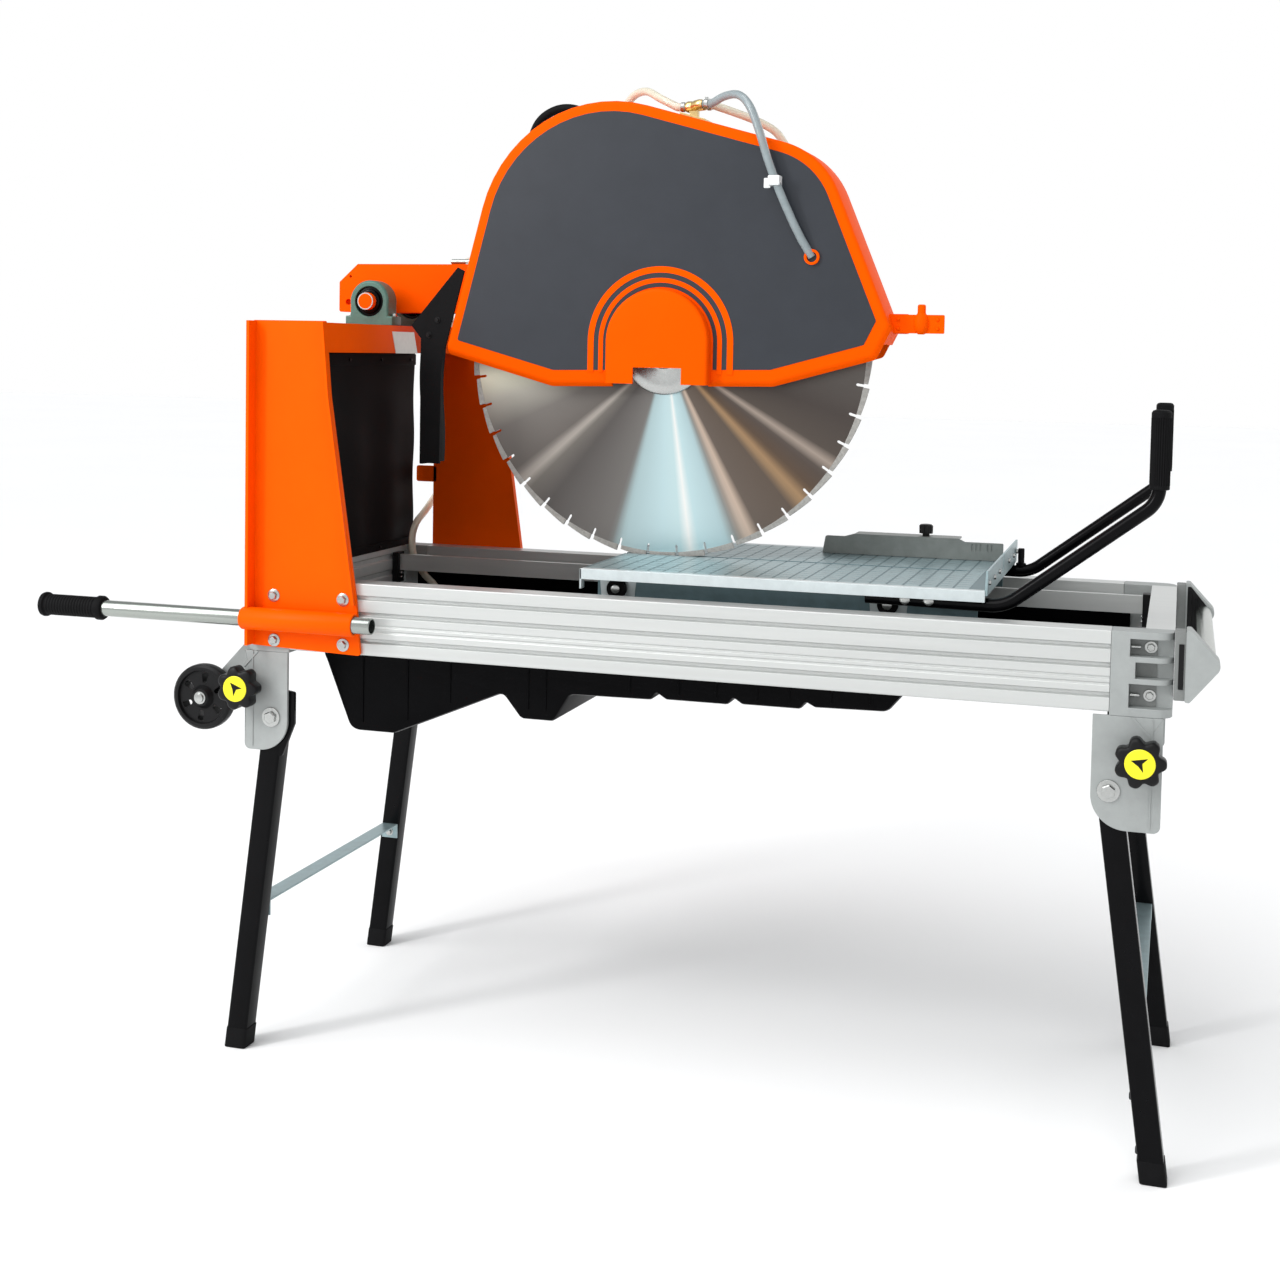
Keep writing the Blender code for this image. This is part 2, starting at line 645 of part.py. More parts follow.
def saw_arm(head):
    """The box arm with the motor's mounting plate at its front end."""
    side = [(-0.634, ARM_BOTTOM), (-0.108, ARM_BOTTOM), (-0.108, ARM_TOP), (-0.606, ARM_TOP),
            (-0.634, 1.292)]
    arm = prism("saw_arm", side, "Y", ARM_NEAR, ARM_FAR, orange(), head)
    plate = [(-0.112, 1.066, 0.01), (0.112, 1.066, 0.01), (0.112, 1.300, 0.03), (-0.112, 1.316, 0)]
    join(arm, prism("arm_plate", rounded(plate), "Y", ARM_NEAR, ARM_NEAR + 0.012, None, head))
    join(arm, prism("arm_gusset", [(-0.240, ARM_BOTTOM + 0.002), (-0.110, ARM_BOTTOM + 0.002),
                                   (-0.110, 1.090)], "Y",
                    ARM_NEAR, ARM_NEAR + 0.010, None, head))
    cut(arm, prism("arm_chamber", inset(side, 0.004), "Y", ARM_NEAR + 0.004, ARM_FAR - 0.004, None, head))
    cut(arm, cylinder("arm_tail_hole", (-0.618, 1.254), 0.006, "Y", 0.03, 0.07, None, head, sides=16))
    cut(arm, cylinder("arm_pivot_bore", (PIVOT_X, PIVOT_Z), SHAFT_R + GAP, "Y", 0.03, 0.15, None, head))
    cut(arm, cylinder("arm_spindle_hole", (0.0, SPINDLE_Z), 0.045, "Y", 0.03, 0.08, None, head))


def motor(head):
    """The motor: a round housing with the stator inside, a terminal box on top, and its fan cowl."""
    front, back = ARM_NEAR + 0.012 + GAP, 0.312
    housing = turned("motor_housing", (0.0, SPINDLE_Z),
                     [(front, 0.105), (front + 0.014, 0.105), (front + 0.018, MOTOR_R),
                      (back - 0.012, MOTOR_R),
                      (back, 0.108)], "Y", motor_grey(), head, sides=28)
    join(housing, box("motor_terminal_box", (-0.050, 0.120, 1.270), (0.050, 0.230, 1.345), None, head))
    join(housing, box("motor_foot", (-0.090, 0.110, 1.052), (0.090, 0.270, 1.090), None, head))
    cavity = turned("motor_cavity", (0.0, SPINDLE_Z),
                    [(front + 0.014, 0.098), (0.1000, 0.098), (0.1001, 0.062), (0.2699, 0.062),
                     (0.2700, 0.098),
                     (back - 0.012, 0.098)], "Y", None, head, sides=20)
    cut(housing, cavity)
    cut(housing, cylinder("motor_bore", (0.0, SPINDLE_Z), 0.0196, "Y", 0.02, 0.35, None, head))
    cowl = turned("fan_cowl", (0.0, SPINDLE_Z), [(back + GAP, 0.117), (COWL_END - 0.010, 0.117),
                                                 (COWL_END, 0.105)],
                  "Y", black_paint(), head, sides=28)
    inner = turned("cowl_hollow", (0.0, SPINDLE_Z), [(back - 0.01, 0.1145), (COWL_END - 0.0105, 0.1145),
                                                     (COWL_END - 0.0025, 0.1030)], "Y", None, head, sides=28)
    cut(cowl, inner)
    for k in range(5):
        height = SPINDLE_Z + (k - 2) * 0.032
        half = 0.082 - abs(k - 2) * 0.018
        cut(cowl, box(f"cowl_slot_{k}", (-half, COWL_END - 0.02, height - 0.006),
                      (half, COWL_END + 0.02, height + 0.006), None, head))


def motor_shaft(spindle):
    """The shaft with its rotor, inner blade flange and cooling fan; the blade seat is thinner."""
    profile = [(-0.0400, 0.0110), (-0.0385, 0.0122), (0.0021, 0.0122), (0.0022, FLANGE_R),
               (0.0141, FLANGE_R),
               (0.0142, 0.0300), (0.0440, 0.0300), (0.0441, 0.0190), (0.1050, 0.0190), (0.1051, 0.0600),
               (0.2649, 0.0600), (0.2650, 0.0190), (0.3249, 0.0190), (0.3250, 0.0880), (0.3280, 0.0880),
               (0.3281, 0.0300), (0.3550, 0.0300)]
    turned("motor_shaft", (0.0, SPINDLE_Z), profile, "Y", bright(), spindle, sides=20)


def saw_blade(spindle):
    """The blade: a steel core whose rim carries the segments, with a gullet between each two."""
    outline = []
    pitch = math.tau / SEGMENTS
    for k in range(SEGMENTS):
        middle = k * pitch
        tooth = pitch / 2 - 0.0022 / BLADE_R
        for a in (middle - tooth, middle + tooth):
            outline.append((BLADE_R * math.cos(a), SPINDLE_Z + BLADE_R * math.sin(a)))
        for a, r in ((middle + tooth, 0.336), (middle + pitch - tooth, 0.336)):
            outline.append((r * math.cos(a), SPINDLE_Z + r * math.sin(a)))
    blade = prism("saw_blade", outline, "Y", -BLADE_CORE / 2, BLADE_CORE / 2, bright(), spindle)
    cut(blade, cylinder("blade_bore", (0.0, SPINDLE_Z), 0.0127, "Y", -0.02, 0.02, None, spindle))


def outer_flange(spindle):
    profile = [(-0.0340, 0.0190), (-0.0150, 0.0190), (-0.0149, 0.0560), (-0.0110, FLANGE_R),
               (-0.0021, FLANGE_R)]
    flange = turned("outer_flange", (0.0, SPINDLE_Z), profile, "Y", bright(), spindle)
    cut(flange, cylinder("flange_bore", (0.0, SPINDLE_Z), 0.0127, "Y", -0.06, 0.02, None, spindle))


def switch_box(head, start, stop):
    """The starter on the arm's far side, with two buttons and a plug inlet."""
    low, high = (-0.372, ARM_FAR + GAP, 1.250), (-0.282, 0.195, 1.392)
    case = box("switch_box", low, high, black_plastic(), head)
    inlet = cylinder("switch_inlet", (-0.327, 0.160), 0.026, "Z", 1.205, 1.255, None, head, sides=24)
    join(case, inlet)
    cut(case, cylinder("switch_inlet_mouth", (-0.327, 0.160), 0.022, "Z", 1.190, 1.240, None, head,
                       sides=24))
    for name, z, body, paint in (("start_button", 1.345, start,
                                  material("button_green", (0.02, 0.35, 0.06), 0.4)),
                                 ("stop_button", 1.295, stop,
                                  material("button_red", (0.60, 0.015, 0.01), 0.4))):
        cut(case, cylinder(f"{name}_well", (-0.327, z), 0.0135, "Y", 0.180, 0.210, None, head, sides=24))
        cylinder(name, (-0.327, z), 0.0125, "Y", 0.1845, 0.2000, paint, body, sides=24)


def rubber_flap(head):
    """The splash rubber behind the blade: a hanging sheet with a cheek up the guard's edge."""
    sheet = box("rubber_flap", (-0.427, -0.050, 0.973), (-0.422, 0.045, 1.212), black_rubber(), head)
    cheek = [(-0.425, 1.130), (-0.3980, 1.130), (-0.3855, 1.160), (-0.3480, 1.306), (-0.3600, 1.312),
             (-0.445, 1.212), (-0.427, 1.190)]
    join(sheet, prism("flap_cheek", cheek, "Y", -0.0500, -0.0460, None, head))


def crown(x):
    """Height of the guard's sloping crown at x."""
    return 1.6438 - 0.2751 * (x + 0.258)


def hose_tee(head):
    """The distributor on the guard's crown: one spigot in, two out."""
    body = [(0.030, crown(0.030) + 0.003), (0.058, crown(0.058) + 0.003), (0.058, 1.597), (0.030, 1.597)]
    foot = [(0.020, crown(0.020) + 0.0004), (0.068, crown(0.068) + 0.0004), (0.068, crown(0.068) + 0.005),
            (0.020, crown(0.020) + 0.005)]
    tee = prism("hose_tee", body, "Y", -0.0205, 0.0205, black_plastic(), head)
    join(tee, prism("tee_foot", foot, "Y", -0.0260, 0.0260, None, head))


def head_lines(head):
    """The hoses from the pivot to both sides of the guard, and the motor's lead."""
    supply = [(-0.541, 0.2997, PIVOT_Z), (-0.541, 0.288, PIVOT_Z), (-0.532, 0.254, 1.2580),
              (-0.504, 0.218, 1.2720),
              (-0.470, 0.185, 1.2930), (-0.440, 0.145, 1.3180), (-0.410, 0.112, 1.3300), (-0.375, 0.096,
                                                                                          1.3320),
              (-0.335, 0.086, 1.3420), (-0.290, 0.076, 1.3740), (-0.235, 0.068, 1.4300), (-0.180, 0.064,
                                                                                          1.4900),
              (-0.135, 0.063, 1.5400), (-0.105, 0.062, 1.5850), (-0.082, 0.052, 1.6100), (-0.052, 0.030,
                                                                                          1.6140),
              (-0.020, 0.008, 1.5980), (0.012, 0.000, 1.5820), (0.0297, 0.000, 1.5820)]
    hose("supply_hose", supply, HOSE_R, clear_hose(), head)
    front = [(0.0583, -0.0105, 1.5850), (0.072, -0.0105, 1.5850), (0.100, -0.026, 1.5950),
             (0.128, -0.045, 1.5930),
             (0.150, -0.060, 1.5720), (0.168, -0.067, 1.5320), (0.184, -0.069, 1.4850), (0.202, -0.069,
                                                                                         1.4400),
             (0.222, -0.068, 1.3950), (0.2370, -0.0675, 1.3647), (0.2469, -0.0675, 1.3467)]
    hose("front_hose", front, HOSE_R, clear_hose(), head)
    rear = [(0.0583, 0.0105, 1.5850), (0.072, 0.0105, 1.5850), (0.105, 0.020, 1.5740),
            (0.142, 0.038, 1.5600),
            (0.170, 0.058, 1.5420), (0.190, 0.068, 1.5060), (0.204, 0.069, 1.4700), (0.218, 0.069, 1.4200),
            (0.230, 0.068, 1.3850), (0.2395, 0.0675, 1.3640), (0.2475, 0.0675, 1.3470)]
    hose("rear_hose", rear, HOSE_R, clear_hose(), head)
    lead = [(-0.300, 0.160, 1.3925), (-0.300, 0.160, 1.4080), (-0.304, 0.152, 1.4700),
            (-0.304, 0.142, 1.5300),
            (-0.284, 0.130, 1.5780), (-0.244, 0.120, 1.6000), (-0.200, 0.118, 1.5960), (-0.160, 0.124,
                                                                                        1.5650),
            (-0.122, 0.134, 1.5100), (-0.086, 0.146, 1.4500), (-0.050, 0.156, 1.3950), (-0.030, 0.160,
                                                                                        1.3600),
            (-0.030, 0.160, 1.3455)]
    hose("motor_cable", lead, 0.0075, black_rubber(), head)


# ---------------------------------------------------------------- cart
def cart_table(cart):
    """The rolling table: folded top with a blade slot, side plates, roller pins and an end stop."""
    table = box("cart_table", (TABLE_LEFT, -TABLE_HALF, TABLE_TOP - SHEET),
                (TABLE_RIGHT, TABLE_HALF, TABLE_TOP),
                zinc(), cart)
    for side, sign in (("front", -1), ("rear", 1)):
        y0, y1 = span(sign, TABLE_HALF - SHEET, TABLE_HALF)
        join(table, box(f"table_fold_{side}", (TABLE_LEFT, y0, 0.815), (TABLE_RIGHT, y1, TABLE_TOP - 0.001),
                        None, cart))
        y0, y1 = span(sign, SIDE_PLATE_Y, SIDE_PLATE_Y + 0.005)
        join(table, box(f"table_side_{side}", (-0.050, y0, 0.765), (0.550, y1, TABLE_TOP - 0.001), None,
                        cart))
        for k, x in enumerate(ROLLER_XS):
            z = GUIDE_TOP + ROLLER_R + GAP
            join(table, cylinder(f"roller_pin_{side}_{k}", (x, z), 0.0040, "Y", *span(sign, 0.190, 0.2080),
                                 None, cart, sides=10))
            join(table, cylinder(f"roller_cap_{side}_{k}", (x, z), 0.0070, "Y", *span(sign, 0.2066, 0.2095),
                                 None, cart, sides=10))
        for k, x in enumerate((0.4465, 0.4820)):
            join(table, cylinder(f"handle_boss_{side}_{k}", (x, 0.812), 0.007, "Y",
                                 *span(sign, 0.190, 0.2117), None, cart, sides=10))
    stop = box("table_stop", (TABLE_RIGHT - 0.001, -0.238, 0.8245), (TABLE_RIGHT + 0.004, 0.238, 0.862),
               None, cart)
    join(table, stop)
    cut(table, box("blade_slot", (TABLE_LEFT - 0.01, -0.006, 0.800), (SLOT_END, 0.006, 0.850), None, cart))
    cut(table, box("stop_slot", (SLOT_END + 0.04, -0.006, TABLE_TOP + 0.002), (0.600, 0.006, 0.900), None,
                   cart))


def cart_handle(name, sign, cart):
    """A bent bar from the table's side up to a round grip."""
    y = sign * 0.2222
    path = bent_path([(0.385, y, 0.812, 0), (0.592, y, 0.809, 0.06), (0.8055, y, 0.972, 0.045),
                      (0.8055, y, 0.990, 0)])
    radii = [0.0102] * len(path)
    for z, radius in ((0.9902, 0.0150), (1.0960, 0.0150), (1.1050, 0.0110)):
        path.append(Vector((0.8055, y, z)))
        radii.append(radius)
    swept(name, path, radii, black_paint(), cart)


def fence(guide):
    """The parallel fence: an angle with a raised gusset, which slides across the table."""
    low = TABLE_TOP + 0.0005
    bar = box("fence", (0.245, 0.150, low), (0.553, 0.154, low + 0.030), zinc(), guide)
    foot = box("fence_foot", (0.245, 0.153, low), (0.553, 0.200, low + 0.004), None, guide)
    gusset = prism("fence_gusset", [(0.300, low + 0.028), (0.355, low + 0.035), (0.470, low + 0.035),
                                    (0.480, low + 0.028)], "Y", 0.151, 0.195, None, guide)
    web = box("fence_web", (0.405, 0.152, low + 0.002), (0.435, 0.190, low + 0.030), None, guide)
    join(bar, foot, gusset, web)


def fence_knob(knob):
    profile = [(TABLE_TOP + 0.0358, 0.006), (TABLE_TOP + 0.0400, 0.006), (TABLE_TOP + 0.0401, 0.0120),
               (TABLE_TOP + 0.0540, 0.0120), (TABLE_TOP + 0.0560, 0.0100)]
    turned("fence_knob", (0.420, 0.172), profile, "Z", black_plastic(), knob, sides=20)


def roller(name, x, sign, body):
    z = GUIDE_TOP + ROLLER_R + GAP
    wheel = cylinder(name, (x, z), ROLLER_R, "Y", *span(sign, 0.194, 0.206), black_rubber(), body, sides=20)
    cut(wheel, cylinder(f"{name}_bore", (x, z), 0.0045, "Y", *span(sign, 0.18, 0.22), None, body, sides=10))


# ---------------------------------------------------------------- legs and running gear
def leg(name, pivot_x, foot_x, sign, body):
    """A square tube leg, cut level at the floor, with the lug that its lock bears on."""
    pivot, foot = Vector((pivot_x, LEG_Z)), Vector((foot_x, 0.0))
    down = (foot - pivot).normalized()
    across = Vector((-down.y, down.x))
    half = LEG_HALF / abs(across.x)
    reach = 0.034
    y0, y1 = span(sign, LEG_INNER, LEG_OUTER)
    top = pivot - down * reach
    left, right = sorted((-1, 1), key=lambda s: (top + across * LEG_HALF * s).x)
    outline = [(foot.x - half, 0.0), (foot.x + half, 0.0), tuple(top + across * LEG_HALF * right),
               tuple(top + across * LEG_HALF * left)]
    bar = prism(name, outline, "Y", y0, y1, black_paint(), body)
    inward = 1 if pivot_x < 0 else -1
    lug_reach = LUG_LEFT if pivot_x < 0 else LUG_RIGHT
    lug = [(pivot_x, LEG_Z - 0.030), (pivot_x + inward * lug_reach, LEG_Z - 0.010),
           (pivot_x + inward * lug_reach, 0.607),
           (pivot_x + inward * 0.004, 0.612), (pivot_x - inward * 0.018, 0.600)]
    join(bar, prism(f"{name}_lug", lug, "Y", *span(sign, LEG_OUTER - 0.008, LEG_OUTER - 0.001), None, body))
    wall = 0.0025
    bore = inset(outline, wall)
    bore = [(bore[0][0], 0.020), (bore[1][0], 0.020), tuple(Vector(bore[2]) - down * 0.02),
            tuple(Vector(bore[3]) - down * 0.02)]
    y0, y1 = span(sign, LEG_INNER + wall, LEG_OUTER - wall)
    cut(bar, prism(f"{name}_bore", bore, "Y", y0, y1, None, body))
    cut(bar, cylinder(f"{name}_pin_hole", (pivot_x, LEG_Z), 0.0065, "Y", *span(sign, 0.24, 0.30), None, body,
                      sides=20))


def leg_brace(name, pivot_x, foot_x, body):
    """The flat strip between a pair of legs, with its ends turned down."""
    share = (LEG_Z - 0.245) / LEG_Z
    x = pivot_x + (foot_x - pivot_x) * share
    z = 0.245
    half = LEG_INNER - GAP
    strip = box(name, (x - 0.016, -half, z - 0.002), (x + 0.016, half, z + 0.002), zinc(), body)
    for side, sign in (("front", -1), ("rear", 1)):
        y0, y1 = span(sign, half - 0.004, half)
        join(strip, box(f"{name}_end_{side}", (x - 0.016, y0, z - 0.026), (x + 0.016, y1, z + 0.001), None,
                        body))


def star_knob(name, x, sign, body):
    """A seven-lobed clamping knob with a short stud."""
    outline = []
    for k in range(35):
        a = math.tau * k / 35
        reach = KNOB_R + KNOB_LOBE * math.cos(7 * a)
        outline.append((x + reach * math.cos(a), KNOB_Z + reach * math.sin(a)))
    knob = prism(name, outline, "Y", *span(sign, 0.310, KNOB_FACE), black_plastic(), body)
    join(knob, cylinder(f"{name}_hub", (x, KNOB_Z), 0.014, "Y", *span(sign, RAIL_OUT + GAP, 0.312), None,
                        body,
                        sides=12))
    join(knob, cylinder(f"{name}_stud", (x, KNOB_Z), 0.005, "Y", *span(sign, 0.2885, 0.300), None, body,
                        sides=10))


def transport_wheel(name, sign, body):
    """A small disc wheel with six holes, on the carrier's axle."""
    hub = turned(name, (WHEEL_X, WHEEL_Z), [(sign * 0.2552, 0.012), (sign * 0.2585, 0.012),
                                            (sign * 0.2586, 0.051), (sign * 0.2620, WHEEL_R),
                                            (sign * 0.2780, WHEEL_R), (sign * 0.2815, 0.051),
                                            (sign * 0.2816, 0.012), (sign * 0.2852, 0.012)],
                 "Y", black_plastic(), body, sides=24)
    for k in range(6):
        a = math.tau * (k + 0.5) / 6
        hole = cylinder(f"{name}_hole_{k}", (WHEEL_X + 0.031 * math.cos(a), WHEEL_Z + 0.031 * math.sin(a)),
                        0.0055,
                        "Y", *span(sign, 0.24, 0.30), None, body, sides=8)
        cut(hub, hole)
    cut(hub, cylinder(f"{name}_bore", (WHEEL_X, WHEEL_Z), 0.0055, "Y", *span(sign, 0.24, 0.30), None, body,
                      sides=10))


def carry_handle(name, sign, shift, body):
    """A tube that slides in its socket, with a ribbed grip on its outer end."""
    start, end = GRIP_END + shift, -0.386 + shift
    profile = [(start, 0.0170), (start + 0.004, 0.0205), (start + 0.010, 0.0205), (start + 0.012, 0.0175),
               (start + 0.106, 0.0175), (start + 0.108, 0.0205), (start + 0.116, 0.0205),
               (start + 0.121, 0.0165), (start + 0.1211, HANDLE_R), (end, HANDLE_R)]
    tube = turned(name, (sign * SOCKET_Y, SOCKET_Z), profile, "X", bright(), body, sides=16)
    cut(tube, cylinder(f"{name}_bore", (sign * SOCKET_Y, SOCKET_Z), 0.0115, "X", start + 0.14, end + 0.02,
                       None, body,
                       sides=12))


# ---------------------------------------------------------------- assembly
def build_head():
    head = empty("head_axis", (PIVOT_X, 0.0, PIVOT_Z), MACHINE)
    cylinder("pivot_shaft", (PIVOT_X, PIVOT_Z), SHAFT_R, "Y", -0.0350, 0.2050, bright(), head)
    saw_arm(head)
    blade_guard(head)
    motor(head)
    start = empty("start_button_axis", (-0.327, 0.200, 1.345), MACHINE)
    stop = empty("stop_button_axis", (-0.327, 0.200, 1.295), MACHINE)
    switch_box(head, start, stop)
    rubber_flap(head)
    hose_tee(head)
    head_lines(head)
    spindle = empty("spindle_axis", (0.0, 0.0, SPINDLE_Z), MACHINE)
    saw_blade(spindle)
    outer_flange(spindle)
    motor_shaft(spindle)


def build_cart():
    cart = empty("cart_axis", (TABLE_LEFT, 0.0, TABLE_TOP), MACHINE)
    cart_table(cart)
    cart_handle("cart_handle_front", -1, cart)
    cart_handle("cart_handle_rear", 1, cart)
    fence(empty("fence_axis", (0.400, 0.150, TABLE_TOP), MACHINE))
    fence_knob(empty("fence_knob_axis", (0.420, 0.172, TABLE_TOP), MACHINE))
    for side, sign in (("front", -1), ("rear", 1)):
        for end, x in zip(("left", "right"), ROLLER_XS):
            name = f"roller_{end}_{side}"
            roller(name, x, sign, empty(f"{name}_axis", (x, sign * GUIDE_Y, GUIDE_TOP + ROLLER_R + GAP),
                                        MACHINE))


def build_running_gear():
    for end, pivot_x, foot_x, way in (("left", LEG_LEFT_X, FOOT_LEFT_X, -1),
                                      ("right", LEG_RIGHT_X, FOOT_RIGHT_X, 1)):
        fold = empty(f"leg_axis_{end}", (pivot_x, 0.0, LEG_Z), MACHINE)
        leg_brace(f"leg_brace_{end}", pivot_x, foot_x, fold)
        for side, sign in (("front", -1), ("rear", 1)):
            leg(f"leg_{end}_{side}", pivot_x, foot_x, sign, fold)
            knob_x = pivot_x + way * KNOB_DX
            name = f"lock_knob_{end}_{side}"
            star_knob(name, knob_x, sign, empty(f"{name}_axis", (knob_x, sign * RAIL_OUT, KNOB_Z), MACHINE))
    for side, sign, shift in (("front", -1, 0.0), ("rear", 1, REAR_SHIFT + HANDLE_TRAVEL)):
        name = f"transport_wheel_{side}"
        transport_wheel(name, sign, empty(f"{name}_axis", (WHEEL_X, sign * 0.27, WHEEL_Z), MACHINE))
        name = f"carry_handle_{side}"
        carry_handle(name, sign, shift, empty(f"{name}_axis", (-0.5, sign * SOCKET_Y, SOCKET_Z), MACHINE))


def build():
    frame()
    water_tank()
    water_pump()
    pump_hose()
    uprights()
    pillow_block("front_pillow_block", -0.020, 0.018)
    pillow_block("rear_pillow_block", 0.158, 0.196)
    build_head()
    build_cart()
    build_running_gear()


build()
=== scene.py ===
"""Looks of the masonry saw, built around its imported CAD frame.

Lengths are metres. Positions are worked out in the saw's own layout: x = 0, y = 0 is the blade's centre,
z = 0 the floor; ORIGIN, read from the frame, carries them into the row frame.
"""

import math

import bmesh
import bpy
from mathutils import Matrix, Vector


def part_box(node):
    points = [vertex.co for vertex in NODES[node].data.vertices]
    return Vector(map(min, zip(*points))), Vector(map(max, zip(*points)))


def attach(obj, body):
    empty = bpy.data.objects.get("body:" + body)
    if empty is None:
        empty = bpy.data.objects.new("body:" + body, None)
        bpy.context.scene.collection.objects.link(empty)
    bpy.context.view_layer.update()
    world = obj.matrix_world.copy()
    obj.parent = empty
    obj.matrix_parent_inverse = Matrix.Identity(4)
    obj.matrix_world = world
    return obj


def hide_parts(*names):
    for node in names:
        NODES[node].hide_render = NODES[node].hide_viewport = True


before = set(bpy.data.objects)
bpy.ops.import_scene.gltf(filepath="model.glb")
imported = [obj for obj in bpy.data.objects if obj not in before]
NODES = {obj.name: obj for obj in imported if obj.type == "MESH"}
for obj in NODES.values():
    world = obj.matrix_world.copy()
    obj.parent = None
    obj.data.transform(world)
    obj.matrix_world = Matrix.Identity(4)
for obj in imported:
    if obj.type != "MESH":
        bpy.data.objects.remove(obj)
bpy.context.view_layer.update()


def middle(node):
    low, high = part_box(node)
    return (low + high) / 2


BLADE_R = 0.35
ORIGIN = Vector((middle("saw_blade").x, middle("saw_blade").y, 0.0))
SPINDLE_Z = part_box("saw_blade")[1].z - BLADE_R
PIVOT = (-0.541, 1.2535)             # x and z of the tilt axis
WHEEL = (-0.714, 0.585)              # x and z of the transport wheels' axle
SOCKET_Z = 0.73                      # height of the carry handles
LEG_PIVOT_Z, LEG_Y = 0.565, 0.269    # fold axes, and the legs' middle from the blade's plane
KNOB_Z = 0.616
ROLLER_XS = (-0.016, 0.416)
BOSS = (0.003, 1.19)                 # middle of the round boss on the guard
GUARD_HALF = 0.05


def span_of(node, axis):
    """Low and high of a CAD node along one axis, in the saw's layout."""
    low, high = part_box(node)
    return low[axis] - ORIGIN[axis], high[axis] - ORIGIN[axis]


# ---------------------------------------------------------------- camera, light, floor
def look():
    """The camera stands at the operator's end of the near side, a little above the table."""
    yaw, pitch, roll = math.radians(-17.1), math.radians(3.14), math.radians(-1.06)
    ahead = Vector((math.sin(yaw) * math.cos(pitch), math.cos(yaw) * math.cos(pitch), -math.sin(pitch)))
    level = Vector((math.cos(yaw), -math.sin(yaw), 0.0))
    down = ahead.cross(level)
    right = level * math.cos(roll) + down * math.sin(roll)
    down = down * math.cos(roll) - level * math.sin(roll)
    data = bpy.data.cameras.new("camera")
    data.sensor_width = 36.0
    data.lens = 49.56
    data.shift_y = -0.151
    data.clip_end = 60.0
    camera = bpy.data.objects.new("camera", data)
    bpy.context.collection.objects.link(camera)
    turn = Matrix((right, -down, -ahead)).transposed().to_4x4()
    camera.matrix_world = Matrix.Translation(ORIGIN + Vector((0.8337, -2.8505, 1.1767))) @ turn
    bpy.context.scene.camera = camera


def lamp(name, place, target, size, power, colour=(1.0, 1.0, 1.0)):
    data = bpy.data.lights.new(name, "AREA")
    data.shape = "RECTANGLE"
    data.size, data.size_y = size
    data.energy = power
    data.color = colour
    light = bpy.data.objects.new(name, data)
    bpy.context.collection.objects.link(light)
    light.location = Vector(place)
    light.rotation_mode = "QUATERNION"
    light.rotation_quaternion = (Vector(target) - Vector(place)).to_track_quat("-Z", "Y")


def studio():
    world = bpy.data.worlds.new("studio")
    world.use_nodes = True
    tree = world.node_tree
    direction = tree.nodes.new("ShaderNodeTexCoord")
    split = tree.nodes.new("ShaderNodeSeparateXYZ")
    height = tree.nodes.new("ShaderNodeValToRGB")
    tree.links.new(direction.outputs["Generated"], split.inputs["Vector"])
    tree.links.new(split.outputs["Z"], height.inputs["Fac"])
    tree.links.new(height.outputs["Color"], tree.nodes["Background"].inputs["Color"])
    height.color_ramp.elements[0].position = 0.32
    height.color_ramp.elements[0].color = (1.0, 1.0, 1.0, 1.0)
    height.color_ramp.elements[1].position = 0.6
    height.color_ramp.elements[1].color = (0.46, 0.47, 0.48, 1.0)
    bpy.context.scene.world = world
    bpy.context.scene.view_settings.view_transform = "Standard"
    sun = bpy.data.lights.new("sun", "SUN")
    sun.energy = 1.75
    sun.angle = math.radians(50)
    sky = bpy.data.objects.new("sun", sun)
    bpy.context.collection.objects.link(sky)
    sky.rotation_mode = "QUATERNION"
    sky.rotation_quaternion = Vector((0.35, 0.62, -1.0)).to_track_quat("-Z", "Y")
    lamp("key", (-2.4, -2.8, 2.7), (0.0, 0.0, 1.1), (0.5, 1.8), 62)
    lamp("rim", (2.4, 1.6, 3.0), (0.2, 0.0, 0.9), (1.6, 1.0), 12)
    mesh = bpy.data.meshes.new("floor")
    bm = bmesh.new()
    bmesh.ops.create_grid(bm, x_segments=1, y_segments=1, size=30.0)
    bm.to_mesh(mesh)
    bm.free()
    floor = bpy.data.objects.new("floor", mesh)
    bpy.context.collection.objects.link(floor)
    floor.location.z = -0.0005
    mesh.materials.append(surface("floor_white", (0.97, 0.97, 0.97), 0.9, mottle=0.01, size=2.0))


